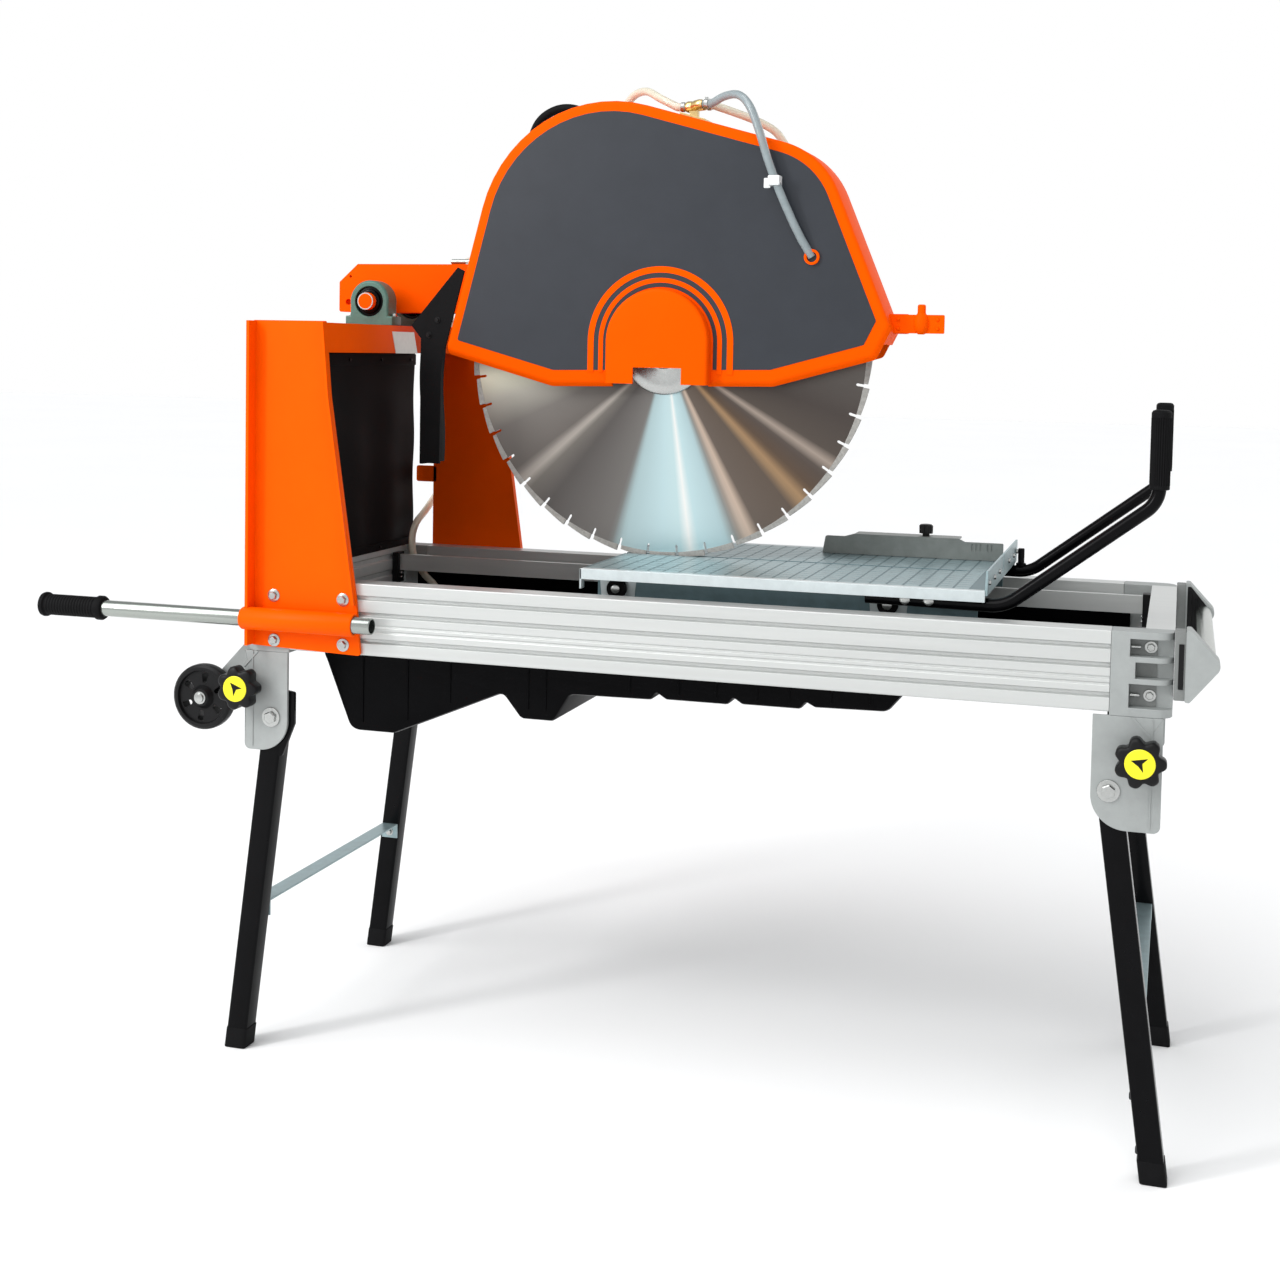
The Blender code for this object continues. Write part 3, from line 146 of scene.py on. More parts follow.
# ---------------------------------------------------------------- materials
def surface(name, colour, roughness, metallic=0.0, mottle=0.06, size=0.03, stretch=(1, 1, 1), bump=0.0,
            bump_size=0.002, coat=0.0, wear=0.1, transmission=0.0, specular=0.5):
    """A shader with broken-up colour and roughness and a fine relief; sizes are in metres."""
    made = bpy.data.materials.get(name)
    if made:
        return made
    made = bpy.data.materials.new(name)
    made.use_nodes = True
    tree = made.node_tree
    shader = tree.nodes["Principled BSDF"]
    shader.inputs["Metallic"].default_value = metallic
    shader.inputs["Coat Weight"].default_value = coat
    shader.inputs["Coat Roughness"].default_value = 0.08
    shader.inputs["Transmission Weight"].default_value = transmission
    shader.inputs["Specular IOR Level"].default_value = specular
    place = tree.nodes.new("ShaderNodeTexCoord")
    mapping = tree.nodes.new("ShaderNodeMapping")
    mapping.inputs["Scale"].default_value = stretch
    tree.links.new(place.outputs["Object"], mapping.inputs["Vector"])
    noise = tree.nodes.new("ShaderNodeTexNoise")
    noise.inputs["Scale"].default_value = 1.0 / size
    noise.inputs["Detail"].default_value = 5.0
    noise.inputs["Roughness"].default_value = 0.65
    tree.links.new(mapping.outputs["Vector"], noise.inputs["Vector"])
    ramp = tree.nodes.new("ShaderNodeValToRGB")
    ramp.color_ramp.elements[0].position = 0.3
    ramp.color_ramp.elements[1].position = 0.7
    ramp.color_ramp.elements[0].color = (*[c * (1 - mottle) for c in colour], 1.0)
    ramp.color_ramp.elements[1].color = (*[min(c * (1 + mottle), 1.0) for c in colour], 1.0)
    tree.links.new(noise.outputs["Fac"], ramp.inputs["Fac"])
    tree.links.new(ramp.outputs["Color"], shader.inputs["Base Color"])
    rough = tree.nodes.new("ShaderNodeMapRange")
    rough.inputs["To Min"].default_value = max(roughness - wear / 2, 0.02)
    rough.inputs["To Max"].default_value = min(roughness + wear / 2, 1.0)
    tree.links.new(noise.outputs["Fac"], rough.inputs["Value"])
    tree.links.new(rough.outputs["Result"], shader.inputs["Roughness"])
    if bump:
        fine = tree.nodes.new("ShaderNodeTexNoise")
        fine.inputs["Scale"].default_value = 1.0 / bump_size
        fine.inputs["Detail"].default_value = 2.0
        tree.links.new(mapping.outputs["Vector"], fine.inputs["Vector"])
        relief = tree.nodes.new("ShaderNodeBump")
        relief.inputs["Strength"].default_value = bump
        relief.inputs["Distance"].default_value = 0.0006
        tree.links.new(fine.outputs["Fac"], relief.inputs["Height"])
        tree.links.new(relief.outputs["Normal"], shader.inputs["Normal"])
    return made


def orange():
    return surface("orange_enamel", (0.94, 0.092, 0.0), 0.42, mottle=0.03, size=0.09, bump=0.05, bump_size=0.006,
                   specular=0.015)


def deep_orange():
    return surface("orange_frame_enamel", (0.92, 0.098, 0.0), 0.38, mottle=0.04, size=0.12, bump=0.08,
                   bump_size=0.005, specular=0.04)


def charcoal():
    return surface("charcoal_film", (0.021, 0.025, 0.033), 0.4, mottle=0.06, size=0.05, bump=0.1, bump_size=0.0012,
                   specular=0.4)


def extrusion():
    return surface("matt_anodised", (0.56, 0.575, 0.565), 0.38, metallic=0.45, mottle=0.04, size=0.02,
                   stretch=(0.03, 1, 1), bump=0.1, bump_size=0.002)


def casting():
    return surface("blasted_casting", (0.34, 0.36, 0.355), 0.5, metallic=0.25, mottle=0.05, size=0.02, bump=0.35,
                   bump_size=0.0018)


def zinc():
    return surface("galvanised_sheet", (0.3, 0.4, 0.42), 0.36, metallic=0.6, mottle=0.14, size=0.018, bump=0.06,
                   bump_size=0.004, wear=0.18)


def plated():
    return surface("zinc_plated", (0.46, 0.47, 0.46), 0.26, metallic=0.95, mottle=0.08, size=0.006, bump=0.06,
                   bump_size=0.001)


def tube_steel():
    return surface("plated_tube", (0.36, 0.385, 0.36), 0.24, metallic=0.95, mottle=0.08, size=0.02,
                   stretch=(0.05, 1, 1), bump=0.05)


def black_paint():
    return surface("black_enamel", (0.002, 0.002, 0.0025), 0.2, mottle=0.25, size=0.05, bump=0.04, bump_size=0.004,
                   specular=0.09)


def black_plastic():
    return surface("black_moulding", (0.005, 0.005, 0.0055), 0.4, mottle=0.25, size=0.03, bump=0.35,
                   bump_size=0.0012, specular=0.2)


def tank_plastic():
    return surface("tank_moulding", (0.002, 0.002, 0.0024), 0.34, mottle=0.3, size=0.08, bump=0.25, bump_size=0.004,
                   specular=0.04)


def rubber():
    return surface("matt_rubber", (0.0045, 0.0045, 0.005), 0.66, mottle=0.25, size=0.03, bump=0.5, bump_size=0.0016,
                   specular=0.1)


def bearing():
    return surface("bearing_enamel", (0.06, 0.15, 0.12), 0.42, metallic=0.1, mottle=0.12, size=0.015, bump=0.45,
                   bump_size=0.003)


def motor_paint():
    return surface("motor_enamel", (0.17, 0.2, 0.22), 0.42, metallic=0.2, mottle=0.08, size=0.03, bump=0.25,
                   bump_size=0.002)


def pvc():
    return surface("clear_pvc_hose", (0.84, 0.8, 0.66), 0.18, mottle=0.05, size=0.02, transmission=0.35, bump=0.05)


def grey_pvc():
    return surface("grey_clear_hose", (0.34, 0.4, 0.42), 0.22, mottle=0.1, size=0.02, transmission=0.3, bump=0.05)


def brass():
    return surface("brass_fitting", (0.68, 0.5, 0.22), 0.28, metallic=0.95, mottle=0.1, size=0.005)


def yellow():
    return surface("yellow_cap", (0.9, 0.82, 0.01), 0.34, mottle=0.04, size=0.01, bump=0.05)


def white_plastic():
    return surface("white_tag", (0.82, 0.84, 0.84), 0.4, mottle=0.04, size=0.01, bump=0.05)


def blank_plate():
    return surface("blank_plate", (0.66, 0.66, 0.62), 0.32, metallic=0.5, mottle=0.05, size=0.01, bump=0.05)


def red():
    return surface("stop_red", (0.62, 0.014, 0.01), 0.34, mottle=0.06, size=0.01, bump=0.05)


def green():
    return surface("start_green", (0.02, 0.33, 0.06), 0.34, mottle=0.06, size=0.01, bump=0.05)


def blade_steel():
    """Ground steel with a sheen round the disc; its pale and warm sectors stand for a studio's reflections."""
    name = "ground_blade_steel"
    made = bpy.data.materials.get(name)
    if made:
        return made
    made = surface(name, (0.5, 0.5, 0.5), 0.3, metallic=1.0, size=0.02, wear=0.06)
    tree = made.node_tree
    shader = tree.nodes["Principled BSDF"]
    shader.inputs["Anisotropic"].default_value = 0.7
    tangent = tree.nodes.new("ShaderNodeTangent")
    tangent.direction_type = "RADIAL"
    tangent.axis = "Y"
    tree.links.new(tangent.outputs["Tangent"], shader.inputs["Tangent"])
    place = tree.nodes.new("ShaderNodeTexCoord")
    split = tree.nodes.new("ShaderNodeSeparateXYZ")
    tree.links.new(place.outputs["Object"], split.inputs["Vector"])
    angle = tree.nodes.new("ShaderNodeMath")
    angle.operation = "ARCTAN2"
    tree.links.new(split.outputs["X"], angle.inputs[0])
    tree.links.new(split.outputs["Z"], angle.inputs[1])
    turn = tree.nodes.new("ShaderNodeMapRange")
    turn.inputs["From Min"].default_value = -math.pi
    turn.inputs["From Max"].default_value = math.pi
    tree.links.new(angle.outputs["Value"], turn.inputs["Value"])
    sectors = tree.nodes.new("ShaderNodeValToRGB")
    stops = ((0.0, (0.56, 0.74, 0.77)), (0.034, (0.44, 0.58, 0.6)), (0.044, (0.2, 0.19, 0.18)),
             (0.105, (0.1, 0.092, 0.088)), (0.126, (0.15, 0.138, 0.125)), (0.134, (0.34, 0.31, 0.28)),
             (0.143, (0.12, 0.108, 0.1)), (0.18, (0.15, 0.138, 0.128)), (0.205, (0.3, 0.285, 0.25)),
             (0.226, (0.52, 0.5, 0.4)), (0.245, (0.3, 0.29, 0.26)), (0.5, (0.26, 0.25, 0.24)),
             (0.74, (0.15, 0.14, 0.13)), (0.8, (0.085, 0.072, 0.066)), (0.832, (0.11, 0.092, 0.08)),
             (0.84, (0.4, 0.33, 0.28)), (0.848, (0.11, 0.09, 0.08)), (0.866, (0.13, 0.09, 0.065)),
             (0.876, (0.42, 0.27, 0.15)), (0.886, (0.14, 0.11, 0.09)), (0.918, (0.16, 0.13, 0.11)),
             (0.927, (0.66, 0.52, 0.42)), (0.936, (0.26, 0.24, 0.22)), (0.946, (0.48, 0.64, 0.67)),
             (0.97, (0.58, 0.77, 0.8)), (0.977, (0.95, 0.96, 0.93)), (0.983, (0.6, 0.78, 0.8)),
             (1.0, (0.56, 0.74, 0.77)))
    ramp = sectors.color_ramp
    while len(ramp.elements) < len(stops):
        ramp.elements.new(0.5)
    for element, (position, colour) in zip(ramp.elements, stops):
        element.position = position
        element.color = (*colour, 1.0)
    tree.links.new(turn.outputs["Result"], sectors.inputs["Fac"])
    for link in list(shader.inputs["Base Color"].links):
        tree.links.remove(link)
    tree.links.new(sectors.outputs["Color"], shader.inputs["Base Color"])
    return made


def fence_steel():
    return surface("fence_plate", (0.2, 0.215, 0.205), 0.4, metallic=0.5, mottle=0.1, size=0.02, bump=0.08)


def dark_zinc():
    return surface("table_ground_sheet", (0.13, 0.2, 0.22), 0.42, metallic=0.5, mottle=0.1, size=0.02, bump=0.05)


# Paler zinc: the roller brackets' own colour, and a painted highlight on the table's folded edges.
def pale_zinc_and_highlight():
    return surface("pale_zinc_and_painted_highlight", (0.58, 0.64, 0.65), 0.34, metallic=0.45, mottle=0.06, size=0.02, bump=0.06)


# Darker casting grey, used as painted shade in the pockets and the recessed band of the castings.
def painted_shade_casting():
    return surface("painted_shade_cast_pocket", (0.2, 0.21, 0.205), 0.6, metallic=0.2, mottle=0.08, size=0.01, bump=0.4)


def segment_metal():
    return surface("diamond_segment", (0.36, 0.35, 0.33), 0.52, metallic=0.6, mottle=0.2, size=0.004, bump=0.6,
                   bump_size=0.0008)


# ---------------------------------------------------------------- outlines
def rounded(corners, steps=10):
    """Polygon of (u, v, radius) corners; each rounded corner becomes an arc of steps segments."""
    outline = []
    count = len(corners)
    for index, (u, v, radius) in enumerate(corners):
        here = Vector((u, v))
        if radius <= 0:
            outline.append((u, v))
            continue
        before = (Vector(corners[index - 1][:2]) - here).normalized()
        after = (Vector(corners[(index + 1) % count][:2]) - here).normalized()
        half = before.angle(after) / 2
        centre = here + (before + after).normalized() * (radius / math.sin(half))
        first = here + before * (radius / math.tan(half)) - centre
        last = here + after * (radius / math.tan(half)) - centre
        turn = first.angle_signed(last)
        for step in range(steps + 1):
            spoke = first.copy()
            spoke.rotate(Matrix.Rotation(-turn * step / steps, 2))
            outline.append(tuple(centre + spoke))
    return outline


def inset(outline, distance):
    """Outline moved inwards, each edge shifted and met with the next."""
    area = sum(a[0] * b[1] - b[0] * a[1] for a, b in zip(outline, outline[1:] + outline[:1]))
    side = 1 if area > 0 else -1
    moved = []
    count = len(outline)
    for index in range(count):
        p, q, r = (Vector(outline[(index + k) % count]) for k in (-1, 0, 1))
        d1, d2 = (q - p).normalized(), (r - q).normalized()
        n1, n2 = Vector((-d1.y, d1.x)) * side, Vector((-d2.y, d2.x)) * side
        bisector = (n1 + n2).normalized()
        moved.append(tuple(q + bisector * (distance / max(bisector.dot(n1), 0.2))))
    return moved


def circle(centre, radius, sides=48, start=0.0):
    return [(centre[0] + radius * math.cos(start + math.tau * k / sides),
             centre[1] + radius * math.sin(start + math.tau * k / sides)) for k in range(sides)]


def arc(centre, radius, first, last, steps):
    """Points on an arc; angles in degrees."""
    return [(centre[0] + radius * math.cos(math.radians(first + (last - first) * k / steps)),
             centre[1] + radius * math.sin(math.radians(first + (last - first) * k / steps)))
            for k in range(steps + 1)]


def placed(centre, angle, points):
    """Points (out, across) turned by an angle about a centre."""
    c, s = math.cos(angle), math.sin(angle)
    return [(centre[0] + c * u - s * v, centre[1] + s * u + c * v) for u, v in points]


def rectangle(u0, v0, u1, v1, radius=0.0):
    return rounded([(u0, v0, radius), (u1, v0, radius), (u1, v1, radius), (u0, v1, radius)], 4)


def span(sign, near, far):
    """Low and high y of a stretch between two distances from the blade's plane, on one side."""
    return sorted((sign * near, sign * far))


# ---------------------------------------------------------------- mesh building
SPREAD = {"Y": lambda u, v, w: (u, w, v), "X": lambda u, v, w: (w, u, v), "Z": lambda u, v, w: (u, v, w)}


def bands_into(bm, skins):
    """Join each ring of vertices to the next by a band of quads."""
    for a, b in zip(skins, skins[1:]):
        for k in range(len(a)):
            j = (k + 1) % len(a)
            bm.faces.new((a[k], a[j], b[j], b[k]))


def skinned_into(bm, skins):
    """A closed solid over a stack of equal rings of vertices."""
    bm.faces.new(skins[0])
    bm.faces.new(reversed(skins[-1]))
    bands_into(bm, skins)


def rings_into(bm, rings, axis):
    """Skin a stack of equal outlines; rings holds (place along the axis, outline)."""
    spread = SPREAD[axis]
    skinned_into(bm, [[bm.verts.new(spread(u, v, along)) for u, v in outline] for along, outline in rings])


def prism_into(bm, outline, axis, low, high):
    rings_into(bm, [(low, outline), (high, outline)], axis)


def box_into(bm, low, high):
    prism_into(bm, [(low[0], low[1]), (high[0], low[1]), (high[0], high[1]), (low[0], high[1])], "Z", low[2], high[2])


def turned_into(bm, centre, profile, axis, sides=48, start=0.0):
    rings_into(bm, [(along, circle(centre, radius, sides, start)) for along, radius in profile], axis)


def hoop_into(bm, centre, profile, axis, sides=48):
    """A ring turned from a closed profile of (place along the axis, radius)."""
    spread = SPREAD[axis]
    skins = [[bm.verts.new(spread(u, v, along)) for u, v in circle(centre, radius, sides)]
             for along, radius in profile]
    bands_into(bm, skins + skins[:1])


def leaning_into(bm, outline, low, high):
    """A prism that leans along X; low and high are each (height, shift)."""
    skinned_into(bm, [[bm.verts.new((u + shift, v, z)) for u, v in outline] for z, shift in (low, high)])


def sweep_into(bm, path, radii, sides=24):
    """A round bar along a path, its section carried along without twist."""
    path = [Vector(p) for p in path]
    tangents = [(path[min(k + 1, len(path) - 1)] - path[max(k - 1, 0)]).normalized() for k in range(len(path))]
    across = tangents[0].orthogonal().normalized()
    skins = []
    for spot, tangent, radius in zip(path, tangents, radii):
        across = (across - tangent * across.dot(tangent)).normalized()
        up = tangent.cross(across)
        skins.append([bm.verts.new(spot + (across * math.cos(a) + up * math.sin(a)) * radius)
                      for a in (math.tau * s / sides for s in range(sides))])
    skinned_into(bm, skins)


def bolt_into(bm, centre, axis, base, sign, radius=0.0065, washer=True, sides=6):
    """A hexagon head with a chamfered top, over a washer, standing off a face at base."""
    rise = base
    if washer:
        turned_into(bm, centre, [(rise, radius * 1.55), (rise + sign * 0.0012, radius * 1.55),
                                 (rise + sign * 0.0016, radius * 1.45)], axis, 28)
        rise += sign * 0.0014
    turned_into(bm, centre, [(rise, radius), (rise + sign * radius * 0.62, radius),
                             (rise + sign * radius * 0.8, radius * 0.86)], axis, sides, 0.3)


def smooth_path(points, steps):
    """Points of a Catmull-Rom curve through the route's own points."""
    knots = [Vector(p) for p in points]
    padded = [knots[0] * 2 - knots[1]] + knots + [knots[-1] * 2 - knots[-2]]
    path = []
    for i in range(1, len(padded) - 2):
        a, b, c, d = padded[i - 1:i + 3]
        for k in range(steps):
            t = k / steps
            path.append(0.5 * (2 * b + (c - a) * t + (2 * a - 5 * b + 4 * c - d) * t * t
                               + (3 * b - a - 3 * c + d) * t ** 3))
    return path + [knots[-1]]


def bent_path(corners, steps=12):
    """Straight runs joined by round bends: corners are (x, y, z, bend radius)."""
    path = [Vector(corners[0][:3])]
    for before, (x, y, z, radius), after in zip(corners, corners[1:], corners[2:]):
        here = Vector((x, y, z))
        back = (Vector(before[:3]) - here).normalized()
        ahead = (Vector(after[:3]) - here).normalized()
        half = back.angle(ahead) / 2
        centre = here + (back + ahead).normalized() * (radius / math.sin(half))
        first = here + back * (radius / math.tan(half)) - centre
        axis = back.cross(ahead)
        for k in range(steps + 1):
            spoke = first.copy()
            spoke.rotate(Matrix.Rotation(-(math.pi - 2 * half) * k / steps, 3, axis))
            path.append(centre + spoke)
    return path + [Vector(corners[-1][:3])]


def piece(name, bm, paint, body, replaces=(), bevel=0.0, segments=2, sharp=32, cutters=()):
    """Finish a mesh: cut it, round its edges, paint it and put it on its CAD body."""
    bmesh.ops.recalc_face_normals(bm, faces=bm.faces)
    mesh = bpy.data.meshes.new(name)
    bm.to_mesh(mesh)
    bm.free()
    made = bpy.data.objects.new(name, mesh)
    bpy.context.collection.objects.link(made)
    for tool_bm in cutters:
        bmesh.ops.recalc_face_normals(tool_bm, faces=tool_bm.faces)
        tool_mesh = bpy.data.meshes.new("cutter")
        tool_bm.to_mesh(tool_mesh)
        tool_bm.free()
        tool = bpy.data.objects.new("cutter", tool_mesh)
        bpy.context.collection.objects.link(tool)
        change = made.modifiers.new("cut", "BOOLEAN")
        change.operation = "DIFFERENCE"
        change.solver = "EXACT"
        change.use_self = True
        change.object = tool
        settled = bpy.data.meshes.new_from_object(made.evaluated_get(bpy.context.evaluated_depsgraph_get()))
        made.modifiers.clear()
        made.data = settled
        bpy.data.objects.remove(tool)
    mesh = made.data
    mesh.name = name
    mesh.transform(Matrix.Translation(ORIGIN))
    mesh.materials.clear()
    mesh.materials.append(paint)
    if bevel:
        soft = made.modifiers.new("edges", "BEVEL")
        soft.width = bevel
        soft.segments = segments
        soft.limit_method = "ANGLE"
        soft.angle_limit = math.radians(sharp)
        soft.harden_normals = True
    mesh.shade_smooth()
    mesh.set_sharp_from_angle(angle=math.radians(sharp + 3))
    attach(made, body)
    if replaces:
        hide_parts(*replaces)
    return made


def hanging_into(bm, columns, rows, spot, skins):
    """A thick hanging sheet: spot(i, j) is a place in it, and skins holds the x of its two faces from there."""
    near, far = [[[bm.verts.new(Vector(spot(i, j)) + Vector((shift, 0.0, 0.0))) for j in range(rows + 1)]
                  for i in range(columns + 1)] for shift in skins]
    for skin in (near, far):
        for i in range(columns):
            for j in range(rows):
                bm.faces.new((skin[i][j], skin[i + 1][j], skin[i + 1][j + 1], skin[i][j + 1]))
    edge = [(i, 0) for i in range(columns)] + [(columns, j) for j in range(rows)]
    edge += [(i, rows) for i in range(columns, 0, -1)] + [(0, j) for j in range(rows, 0, -1)]
    for (i, j), (k, m) in zip(edge, edge[1:] + edge[:1]):
        bm.faces.new((near[i][j], near[k][m], far[k][m], far[i][j]))


def tool(maker, *arguments):
    """A cutter's mesh made by one of the _into functions."""
    bm = bmesh.new()
    maker(bm, *arguments)
    return bm


def dress(node, paint, bevel=0.0, segments=2, angle=30):
    """A CAD node that stays as it is: a finished material, and rounded edges."""
    shown = NODES[node]
    shown.data.materials.clear()
    shown.data.materials.append(paint)
    if bevel:
        soft = shown.modifiers.new("edges", "BEVEL")
        soft.width = bevel
        soft.segments = segments
        soft.limit_method = "ANGLE"
        soft.angle_limit = math.radians(angle)
        soft.harden_normals = True


# ---------------------------------------------------------------- hoses and lead
HOSE_R = 0.0068


def line(name, points, radius, paint, body, node, steps=8):
    """A hose or lead along the route that the CAD gives it."""
    path = [Vector(points[0])] + smooth_path(points[1:-1], steps) + [Vector(points[-1])]
    bm = bmesh.new()
    sweep_into(bm, path, [radius] * len(path), 20)
    return piece(name, bm, paint, body, (node,),
                 sharp=60)


PUMP_ROUTE = [(-0.424, 0.06, 0.6745), (-0.424, 0.06, 0.688), (-0.437, 0.082, 0.712), (-0.465, 0.125, 0.726),
              (-0.5, 0.18, 0.732), (-0.537, 0.222, 0.743), (-0.562, 0.23, 0.775), (-0.571, 0.24, 0.81),
              (-0.575, 0.268, 0.836), (-0.575, 0.305, 0.854), (-0.568, 0.336, 0.88), (-0.55, 0.346, 0.916),
              (-0.534, 0.347, 0.965), (-0.529, 0.347, 1.04), (-0.531, 0.348, 1.12), (-0.536, 0.35, 1.19),
              (-0.541, 0.342, 1.232), (-0.541, 0.316, 1.2535), (-0.541, 0.3003, 1.2535)]
SUPPLY_ROUTE = [(-0.541, 0.2997, 1.2535), (-0.541, 0.288, 1.2535), (-0.532, 0.254, 1.258), (-0.504, 0.218, 1.272),
                (-0.47, 0.185, 1.293), (-0.44, 0.145, 1.318), (-0.41, 0.112, 1.33), (-0.375, 0.096, 1.332),
                (-0.335, 0.086, 1.342), (-0.29, 0.076, 1.374), (-0.235, 0.068, 1.43), (-0.18, 0.064, 1.49),
                (-0.135, 0.063, 1.54), (-0.105, 0.062, 1.585), (-0.082, 0.052, 1.61), (-0.052, 0.03, 1.614),
                (-0.02, 0.008, 1.598), (0.012, 0.0, 1.582), (0.0297, 0.0, 1.582)]
FRONT_ROUTE = [(0.0583, -0.0105, 1.585), (0.072, -0.0105, 1.585), (0.1, -0.026, 1.595), (0.128, -0.045, 1.593),
               (0.15, -0.06, 1.572), (0.168, -0.067, 1.532), (0.184, -0.069, 1.485), (0.202, -0.069, 1.44),
               (0.222, -0.066, 1.395), (0.24, -0.06, 1.358), (0.255, -0.05, 1.332)]
REAR_ROUTE = [(0.0583, 0.0105, 1.585), (0.072, 0.0105, 1.585), (0.105, 0.02, 1.574), (0.142, 0.038, 1.56),
              (0.17, 0.058, 1.542), (0.19, 0.068, 1.506), (0.204, 0.069, 1.47), (0.218, 0.069, 1.42),
              (0.23, 0.066, 1.385), (0.242, 0.06, 1.358), (0.255, 0.05, 1.332)]
LEAD_ROUTE = [(-0.3, 0.16, 1.3925), (-0.3, 0.16, 1.408), (-0.304, 0.152, 1.47), (-0.304, 0.142, 1.53),
              (-0.284, 0.13, 1.578), (-0.244, 0.12, 1.6), (-0.2, 0.118, 1.596), (-0.16, 0.124, 1.565),
              (-0.122, 0.134, 1.51), (-0.086, 0.146, 1.45), (-0.05, 0.156, 1.395), (-0.03, 0.16, 1.36),
              (-0.03, 0.16, 1.3455)]


def collar_into(bm, start, end, radius, grow=1.0):
    """A short ring round a hose, from start to end."""
    sweep_into(bm, [Vector(start), Vector(start).lerp(Vector(end), 0.1), Vector(start).lerp(Vector(end), 0.9),
                    Vector(end)], [radius * 0.92, radius, radius * grow, radius * grow * 0.92], 20)


def hoses():
    line("feed_hose", PUMP_ROUTE, HOSE_R, pvc(), "frame", "pump_hose")
    line("supply_line", SUPPLY_ROUTE, HOSE_R, pvc(), "head", "supply_hose")
    line("front_spray_hose", FRONT_ROUTE, HOSE_R, grey_pvc(), "head", "front_hose")
    line("rear_spray_hose", REAR_ROUTE, HOSE_R, pvc(), "head", "rear_hose")
    line("motor_lead", LEAD_ROUTE, 0.0078, rubber(), "head", "motor_cable")
    clamps = bmesh.new()
    for x, y in ((0.0605, -0.0105), (0.0605, 0.0105)):
        collar_into(clamps, (x, y, 1.585), (x + 0.007, y, 1.585), 0.0082)
    collar_into(clamps, (0.018, 0.0, 1.582), (0.025, 0.0, 1.582), 0.0082)
    collar_into(clamps, (-0.541, 0.302, 1.2535), (-0.541, 0.311, 1.2535), 0.0086)
    collar_into(clamps, (-0.541, 0.289, 1.2535), (-0.541, 0.298, 1.2535), 0.0086)
    for k in (-1, 1):
        box_into(clamps, (0.061, k * 0.0105 - 0.002, 1.592), (0.067, k * 0.0105 + 0.002, 1.5965))
    piece("hose_clamps", clamps, plated(), "head", bevel=0.0004)
    grommets = bmesh.new()
    for sign in (-1, 1):
        hoop_into(grommets, (0.256, 1.331), [(sign * 0.0506, 0.0085), (sign * 0.056, 0.0085), (sign * 0.056, 0.0125),
                                             (sign * 0.0506, 0.0125)], "Y", 36)
    piece("spray_grommets", grommets, orange(), "head")
    tag = bmesh.new()
    box_into(tag, (0.1865, -0.08, 1.444), (0.2055, -0.0575, 1.46))
    box_into(tag, (0.179, -0.0745, 1.44), (0.19, -0.0715, 1.456))
    piece("hose_tag", tag, white_plastic(), "head", bevel=0.0015)
    cuff = bmesh.new()
    collar_into(cuff, (-0.3, 0.16, 1.393), (-0.3, 0.16, 1.408), 0.012, 0.8)
    collar_into(cuff, (-0.03, 0.16, 1.345), (-0.03, 0.16, 1.36), 0.012, 0.8)
    piece("lead_glands", cuff, black_plastic(), "head")


def tee():
    body = bmesh.new()
    turned_into(body, (0.0, 1.582), [(0.026, 0.0075), (0.03, 0.0095), (0.04, 0.0095), (0.042, 0.008)], "X", 24)
    for sign in (-1, 1):
        sweep_into(body, [(0.038, 0.0, 1.582), (0.046, sign * 0.006, 1.584), (0.052, sign * 0.0105, 1.585),
                          (0.0575, sign * 0.0105, 1.585)], [0.0088, 0.0085, 0.008, 0.0076], 20)
    slope = [(0.022, 1.5672), (0.066, 1.5551), (0.066, 1.559), (0.022, 1.5711)]
    prism_into(body, slope, "Y", -0.024, 0.024)
    box_into(body, (0.034, -0.006, 1.56), (0.048, 0.006, 1.58))
    piece("spray_distributor", body, brass(), "head", ("hose_tee",), bevel=0.0006)


# ---------------------------------------------------------------- rails, beams and castings
RAIL_TOP, RAIL_BOTTOM = 0.794, 0.678
RAIL_OUT, RAIL_IN = 0.293, 0.251


def rail_section(sign):
    """Top to bottom on the outer face: groove, groove, raised bead, groove."""
    height = RAIL_TOP - RAIL_BOTTOM
    out = RAIL_OUT
    face = [(out - 0.0015, 0.0), (out, 0.012)]
    for share, width, depth in ((0.2, 0.034, 0.006), (0.43, 0.036, 0.006)):
        face += [(out, share - width), (out - depth, share - width * 0.45), (out - depth, share + width * 0.45),
                 (out, share + width)]
    face += [(out, 0.56), (out - 0.002, 0.575), (out - 0.002, 0.59), (out, 0.602), (out, 0.64),
             (out - 0.002, 0.652), (out - 0.002, 0.668), (out, 0.684)]
    face += [(out, 0.76), (out - 0.006, 0.776), (out - 0.006, 0.812), (out, 0.83), (out, 0.985),
             (out - 0.0015, 1.0)]
    outline = [(y, RAIL_TOP - share * height) for y, share in face]
    outline += [(RAIL_IN, RAIL_BOTTOM), (RAIL_IN, 0.7155)]
    for z in (0.74, 0.766):
        outline += [(RAIL_IN, z - 0.006), (RAIL_IN + 0.005, z - 0.004), (RAIL_IN + 0.005, z + 0.004),
                    (RAIL_IN, z + 0.006)]
    outline += [(RAIL_IN, RAIL_TOP)]
    return [(sign * y, z) for y, z in outline]


